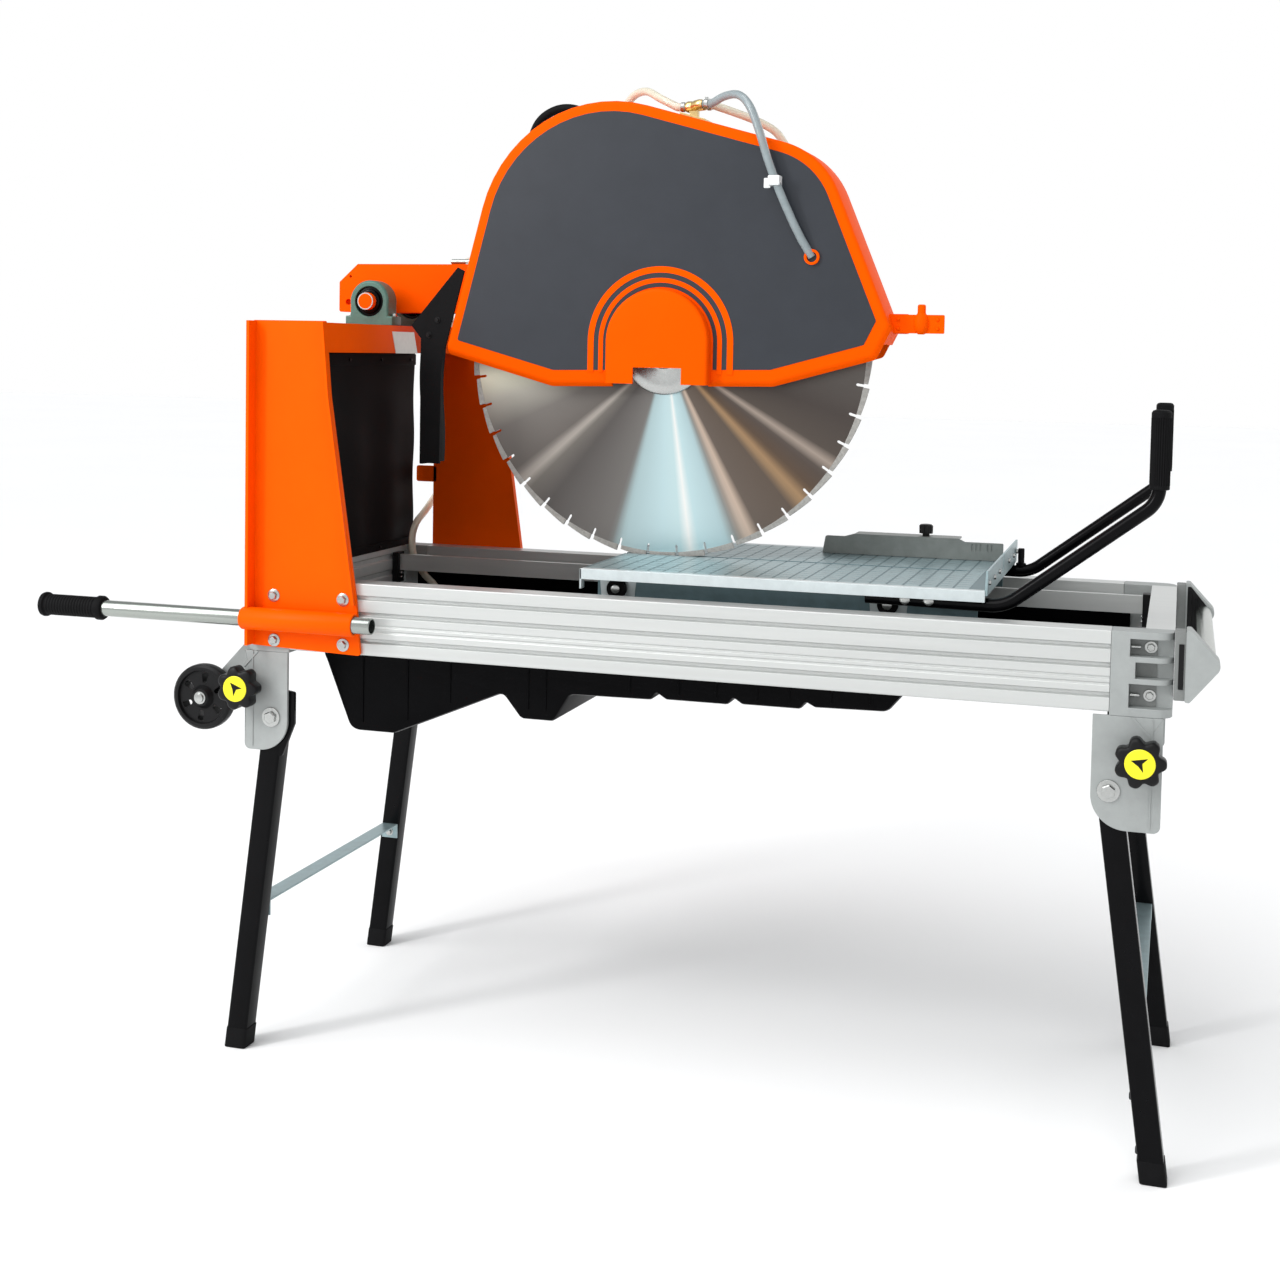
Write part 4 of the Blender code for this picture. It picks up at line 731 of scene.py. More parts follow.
def rails():
    for side, sign in (("front", -1), ("rear", 1)):
        low, high = span_of(f"{side}_rail", 0)
        bm = bmesh.new()
        prism_into(bm, rail_section(sign), "X", low, high)
        piece(f"{side}_rail_profile", bm, extrusion(), "frame", (f"{side}_rail",), bevel=0.0005)
        dress(f"guide_rail_{side}", extrusion(), 0.0012, 3)
        stops = bmesh.new()
        caps = bmesh.new()
        for x0, x1, face, way in ((-0.5868, -0.5745, -0.5745, 1), (0.7805, 0.7937, 0.7805, -1)):
            y0, y1 = span(sign, 0.186, 0.213)
            box_into(stops, (x0, y0, 0.729), (x1, y1, 0.786))
            for z in (0.7395, 0.748):
                bolt_into(caps, (sign * 0.2, z - 0.001), "X", face, way, 0.0028, washer=False)
        piece(f"guide_rail_stops_{side}", stops, black_plastic(), "frame", bevel=0.0012)
        piece(f"guide_rail_screws_{side}", caps, plated(), "frame")
    for end, way in (("left", -1), ("right", 1)):
        x0, x1 = span_of(f"{end}_end_beam", 0)
        y0, y1 = span_of(f"{end}_end_beam", 1)
        z0, z1 = span_of(f"{end}_end_beam", 2)
        section = []
        for face, side in ((x0, 1), (x1, -1)):
            run = [(face, z0)]
            for z in (z0 + 0.028, z0 + 0.058, z0 + 0.088):
                run += [(face, z - 0.006), (face + side * 0.004, z - 0.004), (face + side * 0.004, z + 0.004),
                        (face, z + 0.006)]
            run.append((face, z1))
            section += run if side > 0 else list(reversed(run))
        beam = bmesh.new()
        prism_into(beam, section, "Y", y0, y1)
        piece(f"{end}_beam_profile", beam, extrusion(), "frame", (f"{end}_end_beam",), bevel=0.0006)


def corner(side, sign, way, inner, outer, plate, pivot_x, knob_x):
    """A corner casting with its leg plate: ribbed pockets round the outer corner, bolts, a chevron."""
    name = f"{'right' if way > 0 else 'left'}_{side}"
    block = bmesh.new()
    outline = [(inner, sign * (RAIL_IN + 0.0003), 0), (outer, sign * (RAIL_IN + 0.0003), 0),
               (outer, sign * RAIL_OUT, 0.024), (inner, sign * RAIL_OUT, 0)]
    prism_into(block, rounded(outline, 12), "Z", 0.673, RAIL_TOP)
    pockets = []
    levels = ((0.6855, 0.7195, 0.026), (0.7275, 0.7505, 0.034), (0.7585, 0.7835, 0.026))
    for low, high, deep in levels:
        y0, y1 = span(sign, RAIL_OUT - 0.022, RAIL_OUT + 0.01)
        x0, x1 = sorted((inner + deep * way, outer + 0.01 * way))
        pockets.append(tool(box_into, (x0, y0, low), (x1, y1, high)))
    piece(f"corner_casting_{name}", block, casting(), "frame", (f"leg_bracket_{name}",), bevel=0.0012,
          segments=3, cutters=pockets)
    # Thin sheets in the darker casting grey at the back of the pockets: painted shade in the recesses.
    pocket_shade = bmesh.new()
    for low, high, deep in levels:
        x0, x1 = sorted((inner + (deep + 0.0005) * way, outer - 0.0225 * way))
        y0, y1 = span(sign, RAIL_OUT - 0.0222, RAIL_OUT - 0.0205)
        box_into(pocket_shade, (x0, y0, low + 0.0004), (x1, y1, high - 0.0004))
    piece(f"corner_pocket_shade_{name}", pocket_shade, painted_shade_casting(), "frame")
    u0, u1 = plate
    lower = bmesh.new()
    corners = [(u0, 0.6729, 0.001), (u1, 0.6729, 0.001), (u1, 0.509, 0.01), (u0, 0.509, 0.05)]
    prism_into(lower, rounded(corners, 14), "Y", *span(sign, RAIL_OUT - 0.006, RAIL_OUT - 0.0002))
    chevron = [(u0 + way * 0.052, 0.6725), (u0 + way * 0.056, 0.6725), (u0 + way * 0.082, 0.646),
               (u0 + way * 0.079, 0.644)]
    ridges = bmesh.new()
    prism_into(ridges, chevron, "Y", *span(sign, RAIL_OUT - 0.001, RAIL_OUT + 0.0012))
    edge = [(u1 - way * 0.016, 0.6725), (u1 - way * 0.014, 0.6725), (u1 - way * 0.014, 0.515),
            (u1 - way * 0.016, 0.515)]
    prism_into(ridges, edge, "Y", *span(sign, RAIL_OUT - 0.001, RAIL_OUT + 0.001))
    piece(f"leg_plate_ridges_{name}", ridges, casting(), "frame")
    hole = tool(turned_into, (knob_x, KNOB_Z), [(-0.4, 0.0056), (0.4, 0.0056)], "Y", 24)
    piece(f"leg_plate_{name}", lower, casting(), "frame", bevel=0.0014, segments=3, cutters=[hole])
    bolts = bmesh.new()
    for z in (0.7015, 0.7705):
        bolt_into(bolts, (inner + way * 0.054, z), "Y", sign * (RAIL_OUT - 0.0205), sign, 0.0058)
        turned_into(bolts, (sign * (RAIL_OUT - 0.0165), z), [(inner + way * 0.027, 0.0026),
                                                             (inner + way * 0.04, 0.0026),
                                                             (inner + way * 0.041, 0.0015)], "X", 16)
    turned_into(bolts, (pivot_x, LEG_PIVOT_Z), [(sign * RAIL_OUT, 0.0165), (sign * (RAIL_OUT + 0.0022), 0.016),
                                          (sign * (RAIL_OUT + 0.0026), 0.01)], "Y", 36)
    turned_into(bolts, (pivot_x, LEG_PIVOT_Z), [(sign * (RAIL_OUT + 0.002), 0.0105),
                                                (sign * (RAIL_OUT + 0.0068), 0.0105),
                                          (sign * (RAIL_OUT + 0.008), 0.0088)], "Y", 6, 0.4)
    turned_into(bolts, (pivot_x, LEG_PIVOT_Z), [(sign * 0.25, 0.006), (sign * 0.29, 0.006)], "Y", 24)
    piece(f"corner_bolts_{name}", bolts, plated(), "frame", bevel=0.0003)


def wheel_arm(side, sign):
    arm = [(-0.6, 0.6885), (-0.6, 0.674), (-0.622, 0.642)]
    arm += arc(WHEEL, 0.016, -50, -250, 20)
    arm += [(-0.637, 0.6885)]
    bm = bmesh.new()
    prism_into(bm, arm, "Y", *span(sign, 0.248, 0.2545))
    turned_into(bm, WHEEL, [(sign * 0.25, 0.005), (sign * 0.2875, 0.005)], "Y", 24)
    piece(f"wheel_arm_{side}", bm, casting(), "frame", bevel=0.0012, segments=3)
    cap = bmesh.new()
    turned_into(cap, WHEEL, [(sign * 0.2856, 0.0105), (sign * 0.2866, 0.0105), (sign * 0.287, 0.008),
                                       (sign * 0.29, 0.0075), (sign * 0.2905, 0.006)], "Y", 24)
    piece(f"wheel_bolt_{side}", cap, plated(), "frame")


def nose():
    for side, sign in (("front", -1), ("rear", 1)):
        # The recessed band behind the wedge takes the darker casting grey: painted shade.
        root = bmesh.new()
        outline = rounded([(0.8343, 0.7, 0.002), (0.85, 0.7, 0.002), (0.85, 0.797, 0.002),
                           (0.8343, 0.797, 0.002)], 3)
        prism_into(root, outline, "Y", *span(sign, 0.252, RAIL_OUT - 0.003))
        piece(f"nose_root_shade_{side}", root, painted_shade_casting(), "frame", bevel=0.001)
        block = bmesh.new()
        wedge = rounded([(0.8495, 0.699, 0.002), (0.856, 0.698, 0.004), (0.9, 0.752, 0.013),
                         (0.856, 0.8, 0.004), (0.8495, 0.8, 0.002)], 8)
        prism_into(block, wedge, "Y", *span(sign, 0.25, RAIL_OUT))
        pockets = []
        for low, high in ((0.853, 0.86), (0.863, 0.87), (0.873, 0.879)):
            drop = max(low - 0.85, 0) * 1.15
            y0, y1 = span(sign, 0.24, RAIL_OUT - 0.006)
            pockets.append(tool(box_into, (low, y0, 0.708 + drop), (high, y1, 0.792 - drop)))
        piece(f"nose_casting_{side}", block, casting(), "frame", ("lifting_nose",) if sign < 0 else (),
              bevel=0.0012, segments=3, cutters=pockets)
        # A black sheet over the casting's inner face, open at the pockets: painted shade on the inner side.
        insert = bmesh.new()
        prism_into(insert, rounded([(0.852, 0.704, 0), (0.8575, 0.704, 0), (0.893, 0.752, 0.006),
                                    (0.8575, 0.795, 0), (0.852, 0.795, 0)], 5), "Y", *span(sign, 0.2478, 0.253))
        ribs = bmesh.new()
        for low in (0.853, 0.863, 0.873):
            drop = (low - 0.85) * 1.25
            y0, y1 = span(sign, 0.24, 0.2505)
            box_into(ribs, (low, y0, 0.708 + drop), (low + 0.007, y1, 0.792 - drop))
        piece(f"nose_inner_shade_{side}", insert, black_plastic(), "frame", bevel=0.0006, cutters=[ribs])
        # A black strip on the outer face: painted shade of a slot.
        slot = bmesh.new()
        y0, y1 = span(sign, RAIL_OUT - 0.004, RAIL_OUT - 0.0015)
        box_into(slot, (0.84, y0, 0.716), (0.847, y1, 0.78))
        piece(f"nose_slot_shade_{side}", slot, black_plastic(), "frame", bevel=0.0006)
    bar = bmesh.new()
    turned_into(bar, (0.879, 0.752), [(-0.262, 0.0095), (-0.262, 0.0125), (0.262, 0.0125), (0.262, 0.0095)], "Y", 40)
    piece("nose_tube", bar, tube_steel(), "frame", bevel=0.0005)


def chassis():
    rails()
    for side, sign in (("front", -1), ("rear", 1)):
        corner(side, sign, 1, 0.7483, 0.834, (0.726, 0.823), 0.751, 0.7935)
        corner(side, sign, -1, -0.5453, -0.627, (-0.548, -0.626), -0.577, -0.6195)
        wheel_arm(side, sign)
    nose()


# ---------------------------------------------------------------- water tank and pump
def tank():
    """The moulding: a deep sump, a second bulge, then three shallow ribbed lobes under a wide rim."""
    half, wall = 0.236, 0.004
    floor = rounded([(-0.583, 0.7195, 0), (-0.575, 0.692, 0.01), (-0.52, 0.684, 0.012), (-0.462, 0.541, 0.022),
                     (-0.385, 0.541, 0.03), (-0.195, 0.622, 0.012), (-0.163, 0.583, 0.012), (-0.107, 0.583, 0.012),
                     (-0.08, 0.628, 0.012), (0.055, 0.63, 0.01), (0.062, 0.642, 0.003), (0.078, 0.632, 0.01),
                     (0.178, 0.632, 0.01), (0.186, 0.643, 0.003), (0.2, 0.634, 0.01), (0.292, 0.634, 0.01),
                     (0.3, 0.645, 0.003), (0.314, 0.638, 0.01), (0.425, 0.64, 0.02), (0.462, 0.684, 0.012),
                     (0.775, 0.688, 0.01), (0.783, 0.7195, 0)], 6)
    shell = bmesh.new()
    rings = []
    for along, shrink in ((-half, 0.006), (-half + 0.002, 0.002), (-half + 0.008, 0.0), (half - 0.008, 0.0),
                          (half - 0.002, 0.002), (half, 0.006)):
        ring = inset(floor, shrink) if shrink else list(floor)
        ring[0] = (floor[0][0] + shrink * 0.3, 0.7195)
        ring[-1] = (floor[-1][0] - shrink * 0.3, 0.7195)
        rings.append((along, ring))
    rings_into(shell, rings, "Y")
    hollow = inset(floor, wall)
    hollow[0] = (hollow[0][0], 0.76)
    hollow[-1] = (hollow[-1][0], 0.76)
    piece("tank_moulded_shell", shell, tank_plastic(), "frame", ("water_tank",), sharp=40,
          cutters=[tool(prism_into, hollow, "Y", -half + wall, half - wall)])
    rims = bmesh.new()
    for sign in (-1, 1):
        y0, y1 = span(sign, half - 0.003, RAIL_IN - 0.0015)
        box_into(rims, (-0.56, y0, 0.7165), (0.76, y1, 0.7199))
        y0, y1 = span(sign, 0.244, 0.2458)
        box_into(rims, (-0.56, y0, 0.7165), (0.76, y1, 0.75))
        y0, y1 = span(sign, half - 0.001, half + 0.0016)
        for x, low in ((-0.44, 0.556), (-0.36, 0.566), (-0.285, 0.6), (-0.15, 0.6), (-0.12, 0.6),
                       (0.02, 0.64), (0.1, 0.642), (0.16, 0.642), (0.225, 0.642), (0.275, 0.642),
                       (0.34, 0.648), (0.4, 0.65)):
            box_into(rims, (x - 0.0016, y0, low), (x + 0.0016, y1, 0.712))
    turned_into(rims, (-0.424, 0.0), [(0.528, 0.015), (0.53, 0.018), (0.543, 0.018)], "Z", 32)
    piece("tank_rims_and_plug", rims, tank_plastic(), "frame", bevel=0.0006)
    pump = bmesh.new()
    spot = (-0.424, 0.06)
    turned_into(pump, spot, [(0.5454, 0.028), (0.547, 0.03), (0.559, 0.03), (0.561, 0.0265), (0.645, 0.027),
                             (0.652, 0.024), (0.656, 0.018), (0.66, 0.0085), (0.674, 0.0085)], "Z", 40)
    for x, y in circle(spot, 0.0265, 12):
        box_into(pump, (x - 0.0015, y - 0.0015, 0.566), (x + 0.0015, y + 0.0015, 0.64))
    piece("pump_with_ribs", pump, black_plastic(), "frame", ("water_pump",), bevel=0.0005)


# ---------------------------------------------------------------- uprights, beam, bearings
def uprights():
    for side, sign, shift in (("front", -1, 0.0), ("rear", 1, 0.058)):
        left, inside = -0.61 + shift, RAIL_OUT + 0.0005
        out = inside + 0.006
        bm = bmesh.new()
        outline = [(left, 0.684, 0.004), (-0.415 + shift, 0.678, 0.004), (-0.423 + shift, 0.767, 0.02),
                   (-0.472 + shift, 1.095, 0.1), (-0.482 + shift, 1.214, 0.002), (left, 1.214, 0.002)]
        prism_into(bm, rounded(outline, 6), "Y", *span(sign, inside, out))
        y0, y1 = span(sign, inside + 0.001, inside + 0.03)
        box_into(bm, (left, y0, 0.686), (left + 0.005, y1, 1.213))
        lip = [(-0.428 + shift, 0.76), (-0.423 + shift, 0.76), (-0.472 + shift, 1.095), (-0.482 + shift, 1.213),
               (-0.487 + shift, 1.213), (-0.477 + shift, 1.095)]
        prism_into(bm, lip, "Y", *span(sign, inside + 0.001, inside + 0.014))
        axis_y = sign * (inside + 0.006 + 0.018)
        passage = tool(turned_into, (axis_y, SOCKET_Z), [(left - 0.02, 0.0182), (left + 0.02, 0.0182)], "X", 48)
        piece(f"{side}_upright_sheet", bm, deep_orange(), "frame", (f"{side}_upright",),
              bevel=0.0018, segments=3, cutters=[passage])
        socket = bmesh.new()
        turned_into(socket, (axis_y, SOCKET_Z), [(left - 0.006, 0.0145), (left - 0.006, 0.0175), (left - 0.004, 0.0185),
                                              (left + 0.192, 0.0185), (left + 0.194, 0.0175), (left + 0.194, 0.0145)],
                    "X", 48)
        bore = tool(turned_into, (axis_y, SOCKET_Z), [(left - 0.02, 0.0146), (left + 0.21, 0.0146)], "X", 48)
        piece(f"{side}_socket_tube", socket, deep_orange(), "frame", bevel=0.0006, cutters=[bore])
        bolts = bmesh.new()
        for x, z in ((-0.57, 0.767), (-0.446, 0.767), (-0.569, 0.694), (-0.445, 0.694)):
            bolt_into(bolts, (x + shift, z), "Y", sign * out, sign, 0.007)
        piece(f"{side}_upright_bolts", bolts, plated(), "frame", bevel=0.0003)
    tab = bmesh.new()
    prism_into(tab, rectangle(-0.588, 0.914, -0.545, 0.945, 0.004), "Y", RAIL_OUT + 0.0005, RAIL_OUT + 0.006)
    piece("rear_upright_ear", tab, deep_orange(), "frame", bevel=0.0008)
    dress("cross_beam", deep_orange(), 0.003, 4)
    plate = bmesh.new()
    prism_into(plate, [(-0.05, 1.201), (0.04, 1.201), (0.056, 1.163), (-0.034, 1.163)], "X", -0.4821, -0.481)
    piece("beam_blank_plate", plate, blank_plate(), "frame", bevel=0.0003)


def curtain():
    """A hanging rubber sheet between the uprights, lightly rippled, held by a bar with bolts."""
    bm = bmesh.new()
    columns, rows = 60, 30
    half, bottom, top = 0.286, RAIL_TOP + 0.0003, 1.1632

    def spot(i, j):
        swing = 0.0035 * math.sin(i * 0.42) * (1 - j / rows) + 0.0012 * math.sin(j * 0.5 + i * 0.2)
        return -0.593 + swing, -half + 2 * half * i / columns, bottom + (top - bottom) * j / rows
    hanging_into(bm, columns, rows, spot, (-0.0015, 0.0015))
    piece("curtain_sheet", bm, rubber(), "frame", ("splash_curtain",))
    bar = bmesh.new()
    box_into(bar, (-0.5905, -0.284, 1.14), (-0.587, 0.284, 1.1605))
    box_into(bar, (-0.59, -0.284, 0.7945), (-0.5865, 0.284, 0.808))
    piece("curtain_bars", bar, rubber(), "frame", bevel=0.0006)
    bolts = bmesh.new()
    for y in (-0.26, -0.13, 0.0, 0.13, 0.26):
        bolt_into(bolts, (y, 1.15), "X", -0.587, 1, 0.003, washer=False)
        bolt_into(bolts, (y, 0.8015), "X", -0.5865, 1, 0.003, washer=False)
    piece("curtain_bolts", bolts, black_plastic(), "frame")


def bearings():
    px, pz = PIVOT
    for side, y0, y1 in (("front", -0.02, 0.018), ("rear", 0.158, 0.196)):
        base = 1.2118
        head = bmesh.new()
        rings = []
        for along, shrink in ((y0, 0.003), (y0 + 0.003, 0.0), (y1 - 0.003, 0.0), (y1, 0.003)):
            r = 0.037 - shrink
            w = 0.046 - shrink * 0.5
            top = base + 0.016 - shrink * 0.5
            ring = [(px - w, base), (px + w, base), (px + w, top), (px + 0.0365 + (w - 0.046), top + 0.0005)]
            ring += arc((px, pz), r, -8, 188, 44)
            ring += [(px - 0.0365 - (w - 0.046), top + 0.0005), (px - w, top)]
            rings.append((along, ring))
        rings_into(head, rings, "Y")
        hole = tool(turned_into, (px, pz), [(y0 - 0.02, 0.0265), (y0 + 0.008, 0.0265)], "Y", 48)
        back = tool(turned_into, (px, pz), [(y1 - 0.008, 0.0265), (y1 + 0.02, 0.0265)], "Y", 48)
        through = tool(turned_into, (px, pz), [(y0 - 0.02, 0.0155), (y1 + 0.02, 0.0155)], "Y", 48)
        piece(f"{side}_bearing_housing", head, bearing(), "frame", (f"{side}_pillow_block",),
              bevel=0.0012, segments=3, cutters=[hole, back, through])
        seal = bmesh.new()
        for face, way in ((y0 + 0.0075, -1), (y1 - 0.0075, 1)):
            turned_into(seal, (px, pz), [(face, 0.0262), (face + way * 0.003, 0.0262), (face + way * 0.0034, 0.0215),
                                         (face + way * 0.0085, 0.0205), (face + way * 0.0092, 0.0192)], "Y", 48)
        piece(f"{side}_bearing_insert", seal, black_paint(), "frame", bevel=0.0005,
              cutters=[tool(turned_into, (px, pz), [(y0 - 0.03, 0.0155), (y1 + 0.03, 0.0155)], "Y", 48)])
        bolts = bmesh.new()
        for x in (px - 0.0405, px + 0.0405):
            bolt_into(bolts, (x, (y0 + y1) / 2), "Z", base + 0.0155, 1, 0.0045)
        piece(f"{side}_bearing_bolts", bolts, plated(), "frame")


# ---------------------------------------------------------------- head: arm, guard, motor
def guard_outline(shrink=0.0, bottom=None, steps=14):
    """The guard's side view, or that view drawn inside it: bottom is the distance from its lower edges."""
    corners = [Vector(p) for p in ((-0.383, 1.166), (-0.258, 1.6438), (0.2694, 1.4987), (0.386, 1.217),
                                   (0.362, 1.168), (0.195, 1.121), (-0.187, 1.113))]
    radii = (0.012, 0.235, 0.14, 0.015, 0.012, 0.03, 0.03)
    bottom = shrink if bottom is None else bottom
    away = (shrink, shrink, shrink, bottom, bottom, bottom, bottom)
    moved = []
    for k, corner in enumerate(corners):
        back, ahead = (corner - corners[k - 1]).normalized(), (corners[(k + 1) % 7] - corner).normalized()
        n1, n2 = Vector((back.y, -back.x)), Vector((ahead.y, -ahead.x))
        d1, d2 = away[k - 1], away[k]
        det = n1.x * n2.y - n1.y * n2.x
        moved.append(corner + Vector((d1 * n2.y - d2 * n1.y, d2 * n1.x - d1 * n2.x)) / det)
    return rounded([(*spot, max(radius - shrink, 0.004)) for spot, radius in zip(moved, radii)], steps)


def boss_outline(radius, bottom, steps=40):
    return arc(BOSS, radius, 0, 180, steps) + [(BOSS[0] - radius, bottom), (BOSS[0] + radius, bottom)]


def guard():
    outline = guard_outline()
    half, edge = GUARD_HALF, 0.0065
    shell = bmesh.new()
    front = []
    for k in range(6):
        t = math.radians(90 * k / 5)
        front.append((-half + edge * (1 - math.cos(t)),
                      guard_outline(edge * (1 - math.sin(t)), 0.0115 * (1 - k / 5))))
    back = [(-along, ring) for along, ring in reversed(front)]
    shallow = tool(prism_into, guard_outline(0.0145), "Y", -half + 0.003, -half + 0.012)
    rings_into(shell, front + back, "Y")
    boss_rings = []
    for k in range(5):
        t = math.radians(90 * k / 4)
        boss_rings.append((-half - 0.024 + 0.006 * (1 - math.cos(t)), boss_outline(0.088 - 0.006 * (1 - math.sin(t)),
                                                                                   1.121)))
    boss_rings.append((-half + 0.001, boss_outline(0.088, 1.121)))
    boss = bmesh.new()
    rings_into(boss, boss_rings, "Y")
    inner = inset(outline, 0.003)
    left = min((p for p in inner if p[0] < -0.3 and p[1] > 1.175), key=lambda p: p[1])
    right = min((p for p in inner if p[0] > 0.3 and p[1] > 1.18), key=lambda p: p[1])
    upper = [p for p in inner if p[1] > (1.175 if p[0] < 0 else 1.18)]
    start = upper.index(left)
    hollow = upper[start:] + upper[:start] + [(right[0] - 0.02, 1.15), (right[0] - 0.03, 1.06), (left[0], 1.06)]
    hole = tool(turned_into, (0.0, SPINDLE_Z), [(0.03, 0.045), (0.07, 0.045)], "Y", 48)
    gap = tool(box_into, (-0.045, 0.04, 1.08), (0.045, 0.06, SPINDLE_Z))
    boss_cut = tool(prism_into, boss_outline(0.083, 1.09), "Y", -half - 0.02, -half + 0.01)
    window = tool(box_into, (-0.036, -0.1, 1.08), (0.047, -0.04, 1.148))
    front_gap = tool(prism_into, boss_outline(0.083, 1.09), "Y", -half - 0.01, -half + 0.01)
    piece("guard_shell", shell, orange(), "head", ("blade_guard",), sharp=30,
          cutters=[shallow, tool(prism_into, hollow, "Y", -half + 0.0095, half - 0.003), front_gap, hole, gap])
    piece("guard_boss", boss, orange(), "head", sharp=30, cutters=[boss_cut, window])
    panel = bmesh.new()
    sheet = guard_outline(0.0175, 0.0275)
    notch = boss_outline(0.0915, 1.08)
    prism_into(panel, sheet, "Y", -half - 0.0008, -half + 0.0008)
    piece("guard_side_film", panel, charcoal(), "head", cutters=[tool(prism_into, notch, "Y", -0.06, -0.04)])
    arcs = bmesh.new()
    for r0, r1 in ((0.0985, 0.1065), (0.115, 0.1255)):
        outer = arc(BOSS, r1, 180, 0, 48)
        inside = arc(BOSS, r0, 0, 180, 48)
        middle_x, foot = BOSS[0], 1.139
        band = [(middle_x - r1, foot)] + outer + [(middle_x + r1, foot), (middle_x + r0, foot)] + inside
        band += [(middle_x - r0, foot)]
        prism_into(arcs, band, "Y", -half - 0.0014, -half - 0.0004)
    piece("guard_arc_stripes", arcs, orange(), "head")
    far_panel = bmesh.new()
    prism_into(far_panel, guard_outline(0.0175), "Y", half - 0.0008, half + 0.0008)
    seam = bmesh.new()
    for x, z in ((-0.3, 1.26), (-0.225, 1.47), (-0.03, 1.545), (0.19, 1.48), (0.285, 1.4), (0.34, 1.24)):
        bolt_into(seam, (x, z), "Y", half + 0.0008, 1, 0.005)
    piece("guard_far_film", far_panel, charcoal(), "head",
          cutters=[tool(box_into, (-0.4, 0.04, 1.0), (0.13, 0.06, 1.325))])
    piece("guard_far_bolts", seam, plated(), "head")


def guard_hook():
    """The lifting lug at the guard's nose: a bent plate, a ball and a pin."""
    lug = bmesh.new()
    prism_into(lug, rectangle(0.37, 1.2115, 0.465, 1.2415, 0.002), "Y", -0.0105, -0.0065)
    piece("guard_nose_plate", lug, orange(), "head", bevel=0.0008)
    lug = bmesh.new()
    prism_into(lug, rectangle(0.37, 1.2105, 0.406, 1.2425, 0.002), "Y", -0.006, 0.01)
    piece("guard_nose_block", lug, orange(), "head", bevel=0.0012)
    lug = bmesh.new()
    for x in (0.391, 0.454):
        for z in (1.219, 1.234):
            turned_into(lug, (x, z), [(-0.01, 0.003), (-0.0122, 0.003), (-0.0128, 0.002)], "Y", 16)
    turned_into(lug, (0.428, -0.0075), [(1.21, 0.005), (1.213, 0.009), (1.219, 0.0118), (1.227, 0.0125),
                                         (1.235, 0.0118), (1.241, 0.009), (1.244, 0.0066), (1.256, 0.0066),
                                         (1.258, 0.005)], "Z", 36)
    piece("guard_nose_lug", lug, orange(), "head", bevel=0.001)


def arm():
    side = [(-0.634, 1.236, 0.004), (-0.108, 1.236, 0.003), (-0.108, 1.3225, 0.003), (-0.598, 1.3225, 0.004),
            (-0.634, 1.29, 0.004)]
    bm = bmesh.new()
    prism_into(bm, rounded(side, 4), "Y", 0.0503, 0.125)
    bore = tool(turned_into, PIVOT, [(0.03, 0.0153), (0.15, 0.0153)], "Y", 40)
    tail = tool(turned_into, (-0.616, 1.254), [(0.03, 0.0055), (0.06, 0.0055)], "Y", 24)
    mouth = tool(turned_into, (-0.612, 1.3), [(0.03, 0.0025), (0.06, 0.0025)], "Y", 16)
    piece("arm_box_beam", bm, orange(), "head", ("saw_arm",), bevel=0.0022, segments=3,
          cutters=[bore, tail, mouth])
    plate = bmesh.new()
    face = rounded([(-0.112, 1.066, 0.012), (0.112, 1.066, 0.012), (0.112, 1.3, 0.03), (-0.112, 1.316, 0.002)], 6)
    prism_into(plate, face, "Y", 0.0503, 0.0623)
    prism_into(plate, [(-0.24, 1.238), (-0.11, 1.238), (-0.11, 1.09)], "Y", 0.0503, 0.0603)
    hole = tool(turned_into, (0.0, SPINDLE_Z), [(0.03, 0.045), (0.08, 0.045)], "Y", 48)
    piece("arm_motor_plate", plate, orange(), "head", bevel=0.0012, cutters=[hole])
    bolts = bmesh.new()
    for x in (-0.15, -0.25, -0.42, -0.52):
        bolt_into(bolts, (x, 1.3), "Y", 0.125, 1, 0.0045)
    piece("arm_bolts", bolts, plated(), "head")
    rail_tube = bmesh.new()
    turned_into(rail_tube, (0.075, 1.328), [(-0.425, 0.004), (-0.424, 0.0048), (-0.318, 0.0048), (-0.317, 0.004)],
                "X", 24)
    box_into(rail_tube, (-0.395, 0.068, 1.322), (-0.385, 0.082, 1.326))
    piece("arm_top_tube", rail_tube, tube_steel(), "head")
    dress("pivot_shaft", plated())
    ends = bmesh.new()
    for y, way in ((-0.035, -1), (0.205, 1)):
        turned_into(ends, PIVOT, [(y - way * 0.012, 0.0152), (y - way * 0.002, 0.0152), (y + way * 0.0006, 0.0125)],
                    "Y", 40)
    piece("pivot_shaft_painted_ends", ends, orange(), "head")


